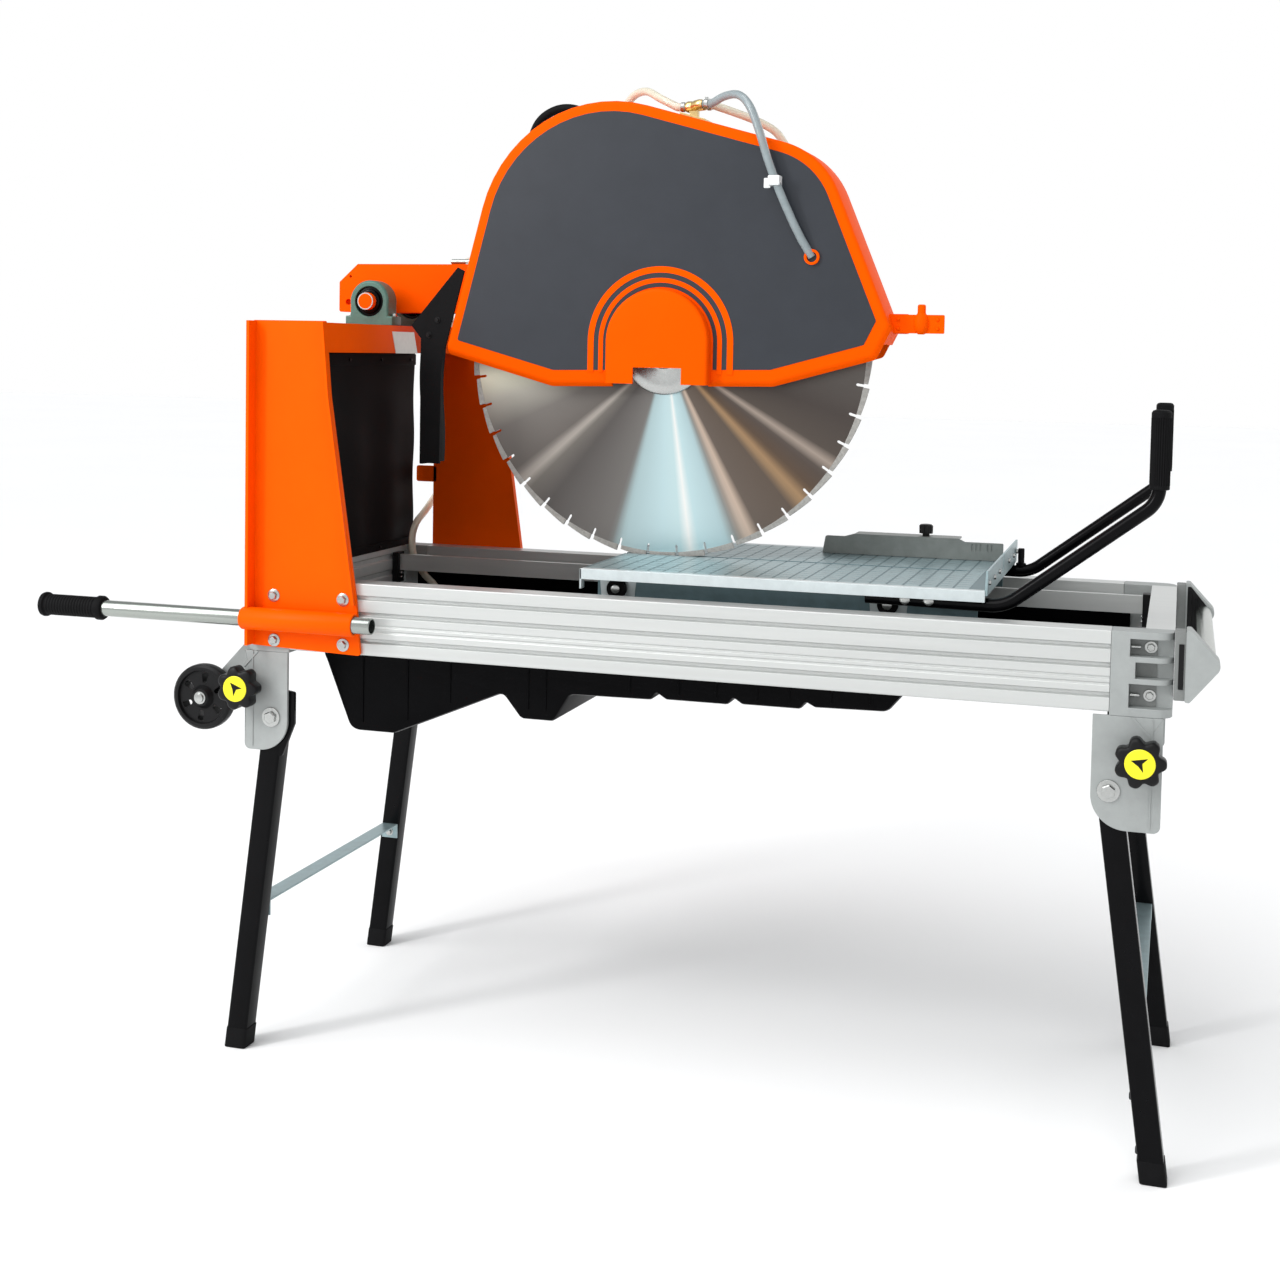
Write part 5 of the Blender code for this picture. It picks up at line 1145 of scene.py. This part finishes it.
def motor():
    """A finned, foot-mounted motor: end shields, terminal box with gland, slotted fan cowl."""
    axis = (0.0, SPINDLE_Z)
    body = bmesh.new()
    turned_into(body, axis, [(0.0626, 0.06), (0.0626, 0.105), (0.0766, 0.105), (0.0806, 0.11), (0.095, 0.11),
                             (0.0955, 0.1035), (0.285, 0.1035), (0.2855, 0.11), (0.3, 0.11), (0.3118, 0.106),
                             (0.3118, 0.04)], "Y", 72)
    for k in range(44):
        a = math.tau * k / 44
        if 60 < math.degrees(a) < 120:
            continue
        fin = ((0.1, -0.0016), (0.1148, -0.0011), (0.1148, 0.0011), (0.1, 0.0016))
        prism_into(body, placed(axis, a, fin), "Y", 0.096, 0.2845)
    piece("motor_finned_body", body, motor_paint(), "head", ("motor_housing",), bevel=0.0004)
    foot = bmesh.new()
    for x0, x1 in ((-0.09, -0.045), (0.045, 0.09)):
        box_into(foot, (x0, 0.115, 1.0525), (x1, 0.265, 1.064))
        mid = (x0 + x1) / 2
        web = [(mid - 0.008, 1.06), (mid + 0.008, 1.06), (mid * 0.9 + 0.008, 1.092), (mid * 0.9 - 0.008, 1.092)]
        prism_into(foot, web, "Y", 0.125, 0.255)
    piece("motor_feet", foot, motor_paint(), "head", bevel=0.0015, segments=3)
    box = bmesh.new()
    prism_into(box, rectangle(-0.049, 0.121, 0.049, 0.229, 0.006), "Z", 1.268, 1.333)
    prism_into(box, rectangle(-0.05, 0.12, 0.05, 0.23, 0.006), "Z", 1.3345, 1.3448)
    piece("terminal_box", box, motor_paint(), "head", bevel=0.0015, segments=3)
    screws = bmesh.new()
    for x in (-0.041, 0.041):
        for y in (0.129, 0.221):
            turned_into(screws, (x, y), [(1.3445, 0.0036), (1.3458, 0.0036), (1.3464, 0.0026)], "Z", 20)
    for spot in circle(axis, 0.094, 4, math.pi / 4):
        bolt_into(screws, spot, "Y", 0.3, 1, 0.0045)
    piece("motor_screws", screws, plated(), "head")
    cowl = bmesh.new()
    turned_into(cowl, axis, [(0.3123, 0.117), (0.372, 0.117), (0.379, 0.115), (0.3835, 0.109), (0.3848, 0.102)],
                "Y", 72)
    inner = tool(turned_into, axis, [(0.3, 0.115), (0.3715, 0.115), (0.377, 0.113), (0.3812, 0.1075),
                                     (0.3822, 0.101)], "Y", 72)
    slots = bmesh.new()
    for k in range(9):
        z = SPINDLE_Z + (k - 4) * 0.02
        half = math.sqrt(max(0.092 ** 2 - ((k - 4) * 0.02) ** 2, 0.0004))
        for x0, x1 in ((-half, -0.006), (0.006, half)):
            prism_into(slots, rectangle(x0, z - 0.0045, x1, z + 0.0045, 0.004), "Y", 0.36, 0.4)
    piece("fan_cowl_slotted", cowl, black_paint(), "head", ("fan_cowl",), cutters=[inner, slots])


def switch():
    x0, x1, y0, y1 = -0.372, -0.282, 0.1253, 0.195
    case = bmesh.new()
    prism_into(case, rectangle(x0, 1.25, x1, 1.392, 0.008), "Y", y0, 0.178)
    prism_into(case, rectangle(x0, 1.25, x1, 1.392, 0.008), "Y", 0.1795, y1)
    turned_into(case, (-0.327, 0.16), [(1.205, 0.024), (1.207, 0.026), (1.255, 0.026)], "Z", 40)
    turned_into(case, (-0.327, 0.16), [(1.218, 0.027), (1.219, 0.0285), (1.229, 0.0285), (1.23, 0.027)], "Z", 40)
    wells = bmesh.new()
    for z in (1.345, 1.295):
        turned_into(wells, (-0.327, z), [(0.18, 0.0134), (0.215, 0.0134)], "Y", 40)
    turned_into(wells, (-0.327, 0.16), [(1.19, 0.022), (1.24, 0.022)], "Z", 40)
    piece("starter_case", case, black_plastic(), "head", ("switch_box",), bevel=0.0015, segments=3,
          cutters=[wells])
    detail = bmesh.new()
    for x in (x0 + 0.009, x1 - 0.009):
        for z in (1.259, 1.383):
            turned_into(detail, (x, z), [(y1, 0.0034), (y1 + 0.0008, 0.0034), (y1 + 0.0012, 0.0022)], "Y", 20)
    for spot in circle((-0.327, 0.16), 0.01, 3, 0.5):
        turned_into(detail, spot, [(1.215, 0.0018), (1.216, 0.0024), (1.2405, 0.0024)], "Z", 16)
    piece("starter_screws_and_pins", detail, brass(), "head")
    for name, z, body, paint in (("start_button", 1.345, "start_key", green()),
                                 ("stop_button", 1.295, "stop_key", red())):
        cap = bmesh.new()
        turned_into(cap, (-0.327, z), [(0.1845, 0.012), (0.185, 0.0124), (0.1975, 0.0124), (0.1992, 0.0116),
                                       (0.2, 0.01), (0.1994, 0.004)], "Y", 40)
        piece(f"{name}_cap", cap, paint, body, (name,))


def flap():
    """Splash rubber behind the blade, with the cheek that runs up the guard's edge and its bolts."""
    bm = bmesh.new()
    columns, rows = 10, 24

    def spot(i, j):
        sway = 0.0022 * math.sin(j * 0.33) + 0.0012 * math.sin(i * 0.9 + j * 0.2)
        return -0.4245 + sway, -0.05 + 0.095 * i / columns, 0.973 + 0.239 * j / rows
    hanging_into(bm, columns, rows, spot, (-0.0023, 0.0023))
    cheek = [(-0.427, 0.9745), (-0.39, 0.9745), (-0.389, 1.13), (-0.3855, 1.16), (-0.348, 1.306),
             (-0.36, 1.312), (-0.445, 1.212), (-0.427, 1.19)]
    prism_into(bm, cheek, "Y", -0.0505, -0.0462)
    piece("flap_rubber", bm, rubber(), "head", ("rubber_flap",))
    bolts = bmesh.new()
    for x, z in ((-0.412, 1.196), (-0.396, 1.222)):
        bolt_into(bolts, (x, z), "Y", -0.0505, -1, 0.0034)
    piece("flap_bolts", bolts, black_plastic(), "head")


def head():
    guard()
    guard_hook()
    arm()
    motor()
    switch()
    flap()
    tee()


# ---------------------------------------------------------------- spindle
def blade():
    """Core with a keyhole gullet between each two segments, and the thicker sintered segments."""
    count = 42
    pitch = math.tau / count
    rim, slot = 0.34, 0.0021
    core = bmesh.new()
    outline = []
    for k in range(count):
        a0 = k * pitch
        for j in range(5):
            a = a0 + slot / rim + (pitch - 2 * slot / rim) * j / 4
            outline.append((rim * math.cos(a), rim * math.sin(a)))
        gullet = ((0.333, -slot), (0.3305, -slot * 1.1), (0.328, -slot * 0.75), (0.3272, 0.0),
                  (0.328, slot * 0.75), (0.3305, slot * 1.1), (0.333, slot))
        outline += placed((0.0, 0.0), a0 + pitch, gullet)
    rings_into(core, [(-0.0018, outline), (0.0018, outline)], "Y")
    bore = tool(turned_into, (0.0, 0.0), [(-0.02, 0.0127), (0.02, 0.0127)], "Y", 48)
    disc = piece("blade_core", core, blade_steel(), "spindle", ("saw_blade",), cutters=[bore])
    centre_on_spindle(disc)
    teeth = bmesh.new()
    for k in range(count):
        a0 = (k + 0.5) * pitch
        half = pitch / 2 - 0.0033 / BLADE_R
        angles = [a0 - half + 2 * half * j / 4 for j in range(5)]
        band = [((BLADE_R - 0.0036 * (1 - j / 4)) * math.cos(a), (BLADE_R - 0.0036 * (1 - j / 4)) * math.sin(a))
                for j, a in enumerate(angles)]
        band += [((rim - 0.0005) * math.cos(a), (rim - 0.0005) * math.sin(a)) for a in reversed(angles)]
        prism_into(teeth, band, "Y", -0.0022, 0.0022)
    ring = piece("blade_segments", teeth, segment_metal(), "spindle", bevel=0.0003, segments=1)
    centre_on_spindle(ring)


def centre_on_spindle(made):
    """Put a piece modelled about the blade's axis on the spindle, keeping its own coordinates central."""
    made.data.transform(Matrix.Translation(-ORIGIN))
    made.matrix_world = Matrix.Translation(ORIGIN + Vector((0.0, 0.0, SPINDLE_Z)))


def flanges():
    axis = (0.0, SPINDLE_Z)
    outer = bmesh.new()
    turned_into(outer, axis, [(-0.0021, 0.072), (-0.003, 0.0738), (-0.01, 0.0738), (-0.0118, 0.071),
                              (-0.014, 0.056), (-0.015, 0.033), (-0.016, 0.03), (-0.02, 0.029),
                              (-0.02, 0.02)], "Y", 72)
    turned_into(outer, axis, [(-0.0195, 0.02), (-0.032, 0.02), (-0.0338, 0.018)], "Y", 6)
    piece("clamping_flange", outer, plated(), "spindle", ("outer_flange",), bevel=0.0004,
          cutters=[tool(turned_into, axis, [(-0.06, 0.0124), (0.02, 0.0124)], "Y", 40)])
    shaft = bmesh.new()
    profile = [(-0.04, 0.0105), (-0.0388, 0.0121), (0.0021, 0.0121), (0.0022, 0.073), (0.0032, 0.0738),
               (0.0128, 0.0738), (0.0141, 0.072), (0.0142, 0.03), (0.044, 0.03), (0.0441, 0.019),
               (0.3249, 0.019), (0.325, 0.03), (0.355, 0.03)]
    turned_into(shaft, axis, profile, "Y", 64)
    for k in range(9):
        fan = ((0.028, -0.0015), (0.087, -0.0015), (0.087, 0.0015), (0.028, 0.0015))
        prism_into(shaft, placed(axis, math.tau * k / 9, fan), "Y", 0.326, 0.354)
    piece("motor_shaft_and_fan", shaft, plated(), "spindle", ("motor_shaft",), bevel=0.0004)


# ---------------------------------------------------------------- cart
TABLE = (-0.065, 0.565)
TABLE_TOP = 0.832
ROLLER_Z = 0.782 + 0.0155 + 0.0003


def table():
    left, right = TABLE
    sheet = bmesh.new()
    box_into(sheet, (left, -0.24, TABLE_TOP - 0.004), (right, 0.24, TABLE_TOP - 0.0004))
    slot = tool(box_into, (left - 0.01, -0.006, 0.8), (0.51, 0.006, 0.85))
    folds = bmesh.new()
    for sign in (-1, 1):
        y0, y1 = span(sign, 0.2362, 0.2402)
        prism_into(folds, [(left, 0.815), (right, 0.815), (right, TABLE_TOP - 0.0003), (left, TABLE_TOP - 0.0003)],
                   "Y", y0, y1)
        y0, y1 = span(sign, 0.2245, 0.24)
        box_into(folds, (left + 0.001, y0, TABLE_TOP - 0.0012), (right - 0.001, y1, TABLE_TOP - 0.0001))
    box_into(folds, (left - 0.0002, -0.2402, 0.8), (left + 0.003, -0.225, TABLE_TOP - 0.0004))
    box_into(folds, (left - 0.0002, 0.225, 0.8), (left + 0.003, 0.2402, TABLE_TOP - 0.0004))
    # The folds take the paler zinc as a painted highlight along the table's edges.
    piece("table_folds", folds, pale_zinc_and_highlight(), "cart", bevel=0.0008)
    piece("table_sheet", sheet, dark_zinc(), "cart", ("cart_table",), bevel=0.0006,
          cutters=[slot])
    grid = bmesh.new()
    pitch, gap = 0.025, 0.0036
    columns, rows = int((right - left - 0.012) / pitch), 18
    for i in range(columns):
        for j in range(rows):
            x0 = left + 0.008 + i * pitch
            y0 = -0.2225 + j * pitch
            x1, y1 = x0 + pitch - gap, y0 + pitch - gap
            if y0 < 0.0065 and y1 > -0.0065 and x0 < 0.51:
                for low, high in ((y0, -0.0068), (0.0068, y1)):
                    if high - low > 0.003:
                        box_into(grid, (x0, low, TABLE_TOP - 0.0012), (x1, high, TABLE_TOP - 0.00005))
                continue
            box_into(grid, (x0, y0, TABLE_TOP - 0.0012), (x1, y1, TABLE_TOP - 0.00005))
    piece("table_grid", grid, zinc(), "cart")
    skirt = bmesh.new()
    for sign in (-1, 1):
        y0, y1 = span(sign, 0.1882, 0.1932)
        box_into(skirt, (-0.05, y0, 0.785), (0.55, y1, TABLE_TOP - 0.0035))
    piece("table_side_plates", skirt, dark_zinc(), "cart", bevel=0.0008)
    pads = bmesh.new()
    for sign in (-1, 1):
        for x in ROLLER_XS:
            pad = rounded([(x - 0.026, 0.766, 0.01), (x + 0.026, 0.766, 0.01), (x + 0.032, 0.827, 0.002),
                           (x - 0.032, 0.827, 0.002)], 6)
            prism_into(pads, pad, "Y", *span(sign, 0.19, 0.1938))
    piece("roller_brackets", pads, pale_zinc_and_highlight(), "cart", bevel=0.0008)
    hubs = bmesh.new()
    for sign in (-1, 1):
        for x in ROLLER_XS:
            turned_into(hubs, (x, ROLLER_Z), [(sign * 0.19, 0.004), (sign * 0.2064, 0.004), (sign * 0.2065, 0.0072),
                                              (sign * 0.209, 0.0072), (sign * 0.2098, 0.0055)], "Y", 32)
        for x in (0.4465, 0.482):
            turned_into(hubs, (x, 0.812), [(sign * 0.19, 0.006), (sign * 0.21, 0.006)], "Y", 24)
            turned_into(hubs, (x, 0.812), [(sign * 0.2326, 0.0075), (sign * 0.2345, 0.0075), (sign * 0.2362, 0.005),
                                           (sign * 0.2368, 0.002)], "Y", 28)
    piece("cart_axles_and_bolts", hubs, plated(), "cart")
    stop = bmesh.new()
    lean = [(right - 0.001, TABLE_TOP - 0.0075), (right + 0.0035, TABLE_TOP - 0.0075), (right + 0.004, 0.862),
            (right + 0.0005, 0.862)]
    prism_into(stop, lean, "Y", -0.238, 0.238)
    notch = tool(box_into, (0.55, -0.006, TABLE_TOP + 0.002), (0.6, 0.006, 0.9))
    piece("table_end_stop", stop, zinc(), "cart", bevel=0.0008, cutters=[notch])
    screws = bmesh.new()
    for y in (-0.222, -0.15, -0.075, 0.08, 0.16, 0.225):
        bolt_into(screws, (y, 0.843), "X", right + 0.0037, 1, 0.0038, washer=False)
    piece("end_stop_screws", screws, plated(), "cart")
    for end, x in zip(("left", "right"), ROLLER_XS):
        for side, sign in (("front", -1), ("rear", 1)):
            tyre = bmesh.new()
            turned_into(tyre, (x, ROLLER_Z), [(sign * 0.194, 0.014), (sign * 0.1948, 0.0155), (sign * 0.2052, 0.0155),
                                              (sign * 0.206, 0.014)], "Y", 48)
            core = tool(turned_into, (x, ROLLER_Z), [(-0.23, 0.0045), (0.23, 0.0045)], "Y", 24)
            dish = tool(turned_into, (x, ROLLER_Z), [(sign * 0.2052, 0.0095), (sign * 0.209, 0.01)], "Y", 32)
            piece(f"roller_{end}_{side}_tyre", tyre, rubber(), f"{end}_{side}_roller", (f"roller_{end}_{side}",),
                  cutters=[core, dish])


def bar_peg():
    """The upright peg where the far push bar leaves the table."""
    peg = bmesh.new()
    turned_into(peg, (0.577, 0.2222), [(0.818, 0.0055), (0.8475, 0.0055), (0.849, 0.0045)], "Z", 24)
    turned_into(peg, (0.577, 0.2222), [(0.818, 0.0085), (0.823, 0.0085), (0.824, 0.007)], "Z", 24)
    piece("push_bar_peg", peg, black_paint(), "cart")


def cart_handles():
    for side, sign in (("front", -1), ("rear", 1)):
        y = sign * 0.2222
        path = bent_path([(0.386, y, 0.812, 0), (0.592, y, 0.809, 0.06), (0.8055, y, 0.972, 0.045),
                          (0.8055, y, 0.998, 0)], 14)
        bm = bmesh.new()
        sweep_into(bm, path, [0.01] * len(path), 28)
        piece(f"push_bar_{side}", bm, black_paint(), "cart", (f"cart_handle_{side}",), sharp=45)
        grip = bmesh.new()
        ribs, low, high = 26, 0.9902, 1.105

        def ring(radius, depth=0.0007):
            turns = [math.tau * k / 208 for k in range(208)]
            return [(0.8055 + (radius + depth * math.cos(ribs * a)) * math.cos(a),
                     y + (radius + depth * math.cos(ribs * a)) * math.sin(a)) for a in turns]
        rings_into(grip, [(low, ring(0.0122, 0)), (low + 0.001, ring(0.0143, 0)), (low + 0.006, ring(0.0143, 0)),
                          (low + 0.007, ring(0.0138)), (high - 0.012, ring(0.0138)), (high - 0.011, ring(0.0143, 0)),
                          (high - 0.004, ring(0.0143, 0)), (high - 0.001, ring(0.012, 0)),
                          (high, ring(0.009, 0))], "Z")
        piece(f"push_grip_{side}", grip, rubber(), "cart")


def fence():
    low = TABLE_TOP + 0.0005
    bar = bmesh.new()
    face = rounded([(0.245, low, 0.001), (0.553, low, 0.001), (0.553, low + 0.03, 0.002), (0.25, low + 0.03, 0.004)],
                   4)
    prism_into(bar, face, "Y", 0.15, 0.1535)
    box_into(bar, (0.245, 0.152, low), (0.553, 0.2, low + 0.0035))
    ridge = [(0.278, low + 0.0285), (0.3, low + 0.035), (0.478, low + 0.035), (0.492, low + 0.0285)]
    prism_into(bar, ridge, "Y", 0.1505, 0.154)
    box_into(bar, (0.3, 0.151, low + 0.032), (0.478, 0.195, low + 0.035))
    box_into(bar, (0.405, 0.152, low + 0.002), (0.409, 0.19, low + 0.032))
    box_into(bar, (0.431, 0.152, low + 0.002), (0.435, 0.19, low + 0.032))
    slots = bmesh.new()
    for x in (0.5, 0.507, 0.514, 0.526, 0.533):
        box_into(slots, (x, 0.14, low + 0.016), (x + 0.003, 0.1515, low + 0.027))
    piece("fence_angle", bar, fence_steel(), "fence_slider", ("fence",), bevel=0.0007,
          cutters=[slots])
    knob = bmesh.new()
    base = TABLE_TOP + 0.0358
    fluted = []
    for rise, radius, depth in ((0.0, 0.006, 0.0), (0.004, 0.006, 0.0), (0.0043, 0.011, 0.0006),
                                (0.017, 0.0112, 0.0007), (0.0195, 0.0095, 0.0003), (0.0202, 0.006, 0.0)):
        ring = []
        for k in range(96):
            a = math.tau * k / 96
            reach = radius + depth * math.cos(12 * a)
            ring.append((0.42 + reach * math.cos(a), 0.172 + reach * math.sin(a)))
        fluted.append((base + rise, ring))
    rings_into(knob, fluted, "Z")
    piece("fence_knob_fluted", knob, black_plastic(), "fence_clamp", ("fence_knob",))


# ---------------------------------------------------------------- legs, knobs, wheels, carry handles
def legs():
    for end, pivot_x, foot_x in (("left", -0.577, -0.6455), ("right", 0.751, 0.8305)):
        pivot, foot = Vector((pivot_x, LEG_PIVOT_Z)), Vector((foot_x, 0.0))
        down = (foot - pivot).normalized()
        across = Vector((-down.y, down.x))
        if across.x < 0:
            across = -across
        half = 0.018 / across.x
        inward = 1 if pivot_x < 0 else -1
        body = f"{end}_legs"
        for side, sign in (("front", -1), ("rear", 1)):
            top = pivot - down * 0.034
            tube = bmesh.new()
            outline_low = rectangle(foot.x - half, sign * LEG_Y - 0.0175, foot.x + half, sign * LEG_Y + 0.0175, 0.004)
            leaning_into(tube, outline_low, (0.0015, 0.0), (top.y, top.x - foot.x))
            piece(f"leg_tube_{end}_{side}", tube, black_paint(), body, (f"leg_{end}_{side}",),
                  sharp=40)
            shoe = bmesh.new()
            wide = rectangle(foot.x - half - 0.0012, sign * LEG_Y - 0.0187, foot.x + half + 0.0012,
                             sign * LEG_Y + 0.0187, 0.005)
            lean = (pivot.x - foot.x) / LEG_PIVOT_Z
            leaning_into(shoe, wide, (0.0, 0.0), (0.034, lean * 0.034))
            piece(f"leg_shoe_{end}_{side}", shoe, rubber(), body, bevel=0.0012)
            lug = bmesh.new()
            reach = 0.038 if end == "left" else 0.024
            low = 0.5 if end == "left" else 0.545
            shape = rounded([(pivot_x, 0.5, 0), (pivot_x + inward * reach * 0.42, low, 0.004),
                             (pivot_x + inward * reach, 0.555, 0.004),
                             (pivot_x + inward * reach, 0.607, 0.003), (pivot_x + inward * 0.004, 0.612, 0.003),
                             (pivot_x - inward * 0.018, 0.6, 0)], 4)
            prism_into(lug, shape, "Y", *span(sign, 0.2785, 0.2855))
            piece(f"leg_lug_{end}_{side}", lug, black_paint(), body, bevel=0.0008)
            rivets = bmesh.new()
            for z in (0.12, 0.042) if (end == "right") else (0.12,):
                x = foot.x + lean * z
                turned_into(rivets, (sign * LEG_Y, z), [(x - half + 0.0008, 0.006), (x - half - 0.0012, 0.006),
                                                        (x - half - 0.0026, 0.004)], "X", 20)
            piece(f"leg_buttons_{end}_{side}", rivets, black_plastic(), body)
        share = (LEG_PIVOT_Z - 0.245) / LEG_PIVOT_Z
        x, z = pivot_x + (foot_x - pivot_x) * share, 0.245
        strip = bmesh.new()
        box_into(strip, (x - 0.016, -0.251, z - 0.0015), (x + 0.016, 0.251, z + 0.0015))
        box_into(strip, (x - 0.016, -0.23, z - 0.006), (x - 0.0135, 0.23, z))
        for sign in (-1, 1):
            y0, y1 = span(sign, 0.248, 0.2512)
            box_into(strip, (x - 0.016, y0, z - 0.026), (x + 0.016, y1, z + 0.001))
        piece(f"leg_brace_{end}_strip", strip, zinc(), body, (f"leg_brace_{end}",), bevel=0.0008)
        rivets = bmesh.new()
        for sign in (-1, 1):
            bolt_into(rivets, (x, z - 0.014), "Y", sign * 0.248, -sign, 0.005)
        piece(f"leg_brace_{end}_bolts", rivets, plated(), body)


def knobs():
    """Star knobs with a yellow cap that carries an arrow."""
    for end, x in (("left", -0.6195), ("right", 0.7935)):
        for side, sign in (("front", -1), ("rear", 1)):
            body = f"{end}_{side}_lock_knob"
            centre = (x, KNOB_Z)

            def star(radius, depth):
                ring = []
                for k in range(140):
                    a = math.tau * k / 140
                    wave = math.cos(7 * a)
                    r = radius + depth * (1 - (1 - wave) ** 1.6 / 1.516)
                    ring.append((centre[0] + r * math.cos(a), centre[1] + r * math.sin(a)))
                return ring
            knob = bmesh.new()
            rings_into(knob, [(sign * 0.3105, star(0.03, 0.003)), (sign * 0.313, star(0.032, 0.0038)),
                              (sign * 0.3305, star(0.0322, 0.004)), (sign * 0.3335, star(0.0312, 0.0034)),
                              (sign * 0.3352, star(0.0285, 0.0024)), (sign * 0.3362, star(0.0235, 0.0008))], "Y")
            turned_into(knob, centre, [(sign * 0.2938, 0.0125), (sign * 0.295, 0.0135), (sign * 0.311, 0.015),
                                       (sign * 0.314, 0.018)], "Y", 40)
            turned_into(knob, centre, [(sign * 0.289, 0.0048), (sign * 0.296, 0.0048)], "Y", 24)
            piece(f"lock_knob_{end}_{side}_star", knob, black_plastic(), body, (f"lock_knob_{end}_{side}",),
                  sharp=40)
            cap = bmesh.new()
            turned_into(cap, centre, [(sign * 0.334, 0.021), (sign * 0.3368, 0.021), (sign * 0.3376, 0.02)], "Y",
                        48)
            piece(f"lock_knob_{end}_{side}_cap", cap, yellow(), body)
            arrow = bmesh.new()
            turn = Matrix.Rotation(math.radians(-12 if end == "left" else 20), 2)
            head_shape = [Vector(p) for p in ((-0.01, 0.0085), (0.013, 0.0045), (0.0035, 0.0),
                                              (0.0005, -0.012), (-0.003, -0.002))]
            shape = [(centre[0] + (turn @ p).x, centre[1] + (turn @ p).y) for p in head_shape]
            prism_into(arrow, shape, "Y", *span(sign, 0.3372, 0.3379))
            piece(f"lock_knob_{end}_{side}_arrow", arrow, black_plastic(), body)


def wheels():
    for side, sign in (("front", -1), ("rear", 1)):
        disc = bmesh.new()
        turned_into(disc, WHEEL, [(sign * 0.256, 0.045), (sign * 0.259, 0.05), (sign * 0.262, 0.0542),
                                   (sign * 0.266, 0.055), (sign * 0.274, 0.055), (sign * 0.278, 0.0542),
                                   (sign * 0.281, 0.05), (sign * 0.2812, 0.045), (sign * 0.276, 0.043),
                                   (sign * 0.2755, 0.02), (sign * 0.2845, 0.014), (sign * 0.285, 0.012)], "Y", 72)
        slits = bmesh.new()
        for k in range(6):
            hole = ((0.023, -0.0015), (0.0245, -0.0035), (0.0375, -0.0062), (0.04, -0.0045),
                    (0.04, 0.0045), (0.0375, 0.0062), (0.0245, 0.0035), (0.023, 0.0015))
            prism_into(slits, placed(WHEEL, math.tau * (k + 0.4) / 6, hole), "Y", *span(sign, 0.24, 0.3))
        bore = tool(turned_into, WHEEL, [(-0.32, 0.0055), (0.32, 0.0055)], "Y", 32)
        piece(f"wheel_{side}_disc", disc, black_plastic(), f"{side}_transport_wheel", (f"transport_wheel_{side}",),
              bevel=0.0008, cutters=[slits, bore])


def carry_handles():
    for side, sign in (("front", -1), ("rear", 1)):
        low, high = span_of(f"carry_handle_{side}", 0)
        axis = (sign * (RAIL_OUT + 0.0245), SOCKET_Z)
        tube = bmesh.new()
        turned_into(tube, axis, [(low + 0.119, 0.012), (low + 0.119, 0.0134), (high - 0.001, 0.0134), (high, 0.0128)],
                    "X", 48)
        bore = tool(turned_into, axis, [(low + 0.14, 0.0112), (high + 0.02, 0.0112)], "X", 40)
        piece(f"carry_tube_{side}", tube, tube_steel(), f"{side}_carry_handle", (f"carry_handle_{side}",),
              cutters=[bore])
        grip = bmesh.new()
        profile = [(low, 0.012), (low + 0.001, 0.016), (low + 0.003, 0.0195), (low + 0.006, 0.0205),
                   (low + 0.01, 0.0203), (low + 0.012, 0.0172)]
        for k in range(17):
            start = low + 0.014 + k * 0.0054
            profile += [(start, 0.0166), (start + 0.0012, 0.0176), (start + 0.0034, 0.0176), (start + 0.0046, 0.0166)]
        profile += [(low + 0.108, 0.0172), (low + 0.11, 0.0203), (low + 0.117, 0.0203), (low + 0.1205, 0.018),
                    (low + 0.1212, 0.014)]
        turned_into(grip, axis, profile, "X", 56)
        piece(f"carry_grip_{side}", grip, rubber(), f"{side}_carry_handle")


# ---------------------------------------------------------------- everything
look()
hoses()
studio()
chassis()
tank()
uprights()
curtain()
bearings()
head()
blade()
flanges()
table()
cart_handles()
bar_peg()
fence()
legs()
knobs()
wheels()
carry_handles()
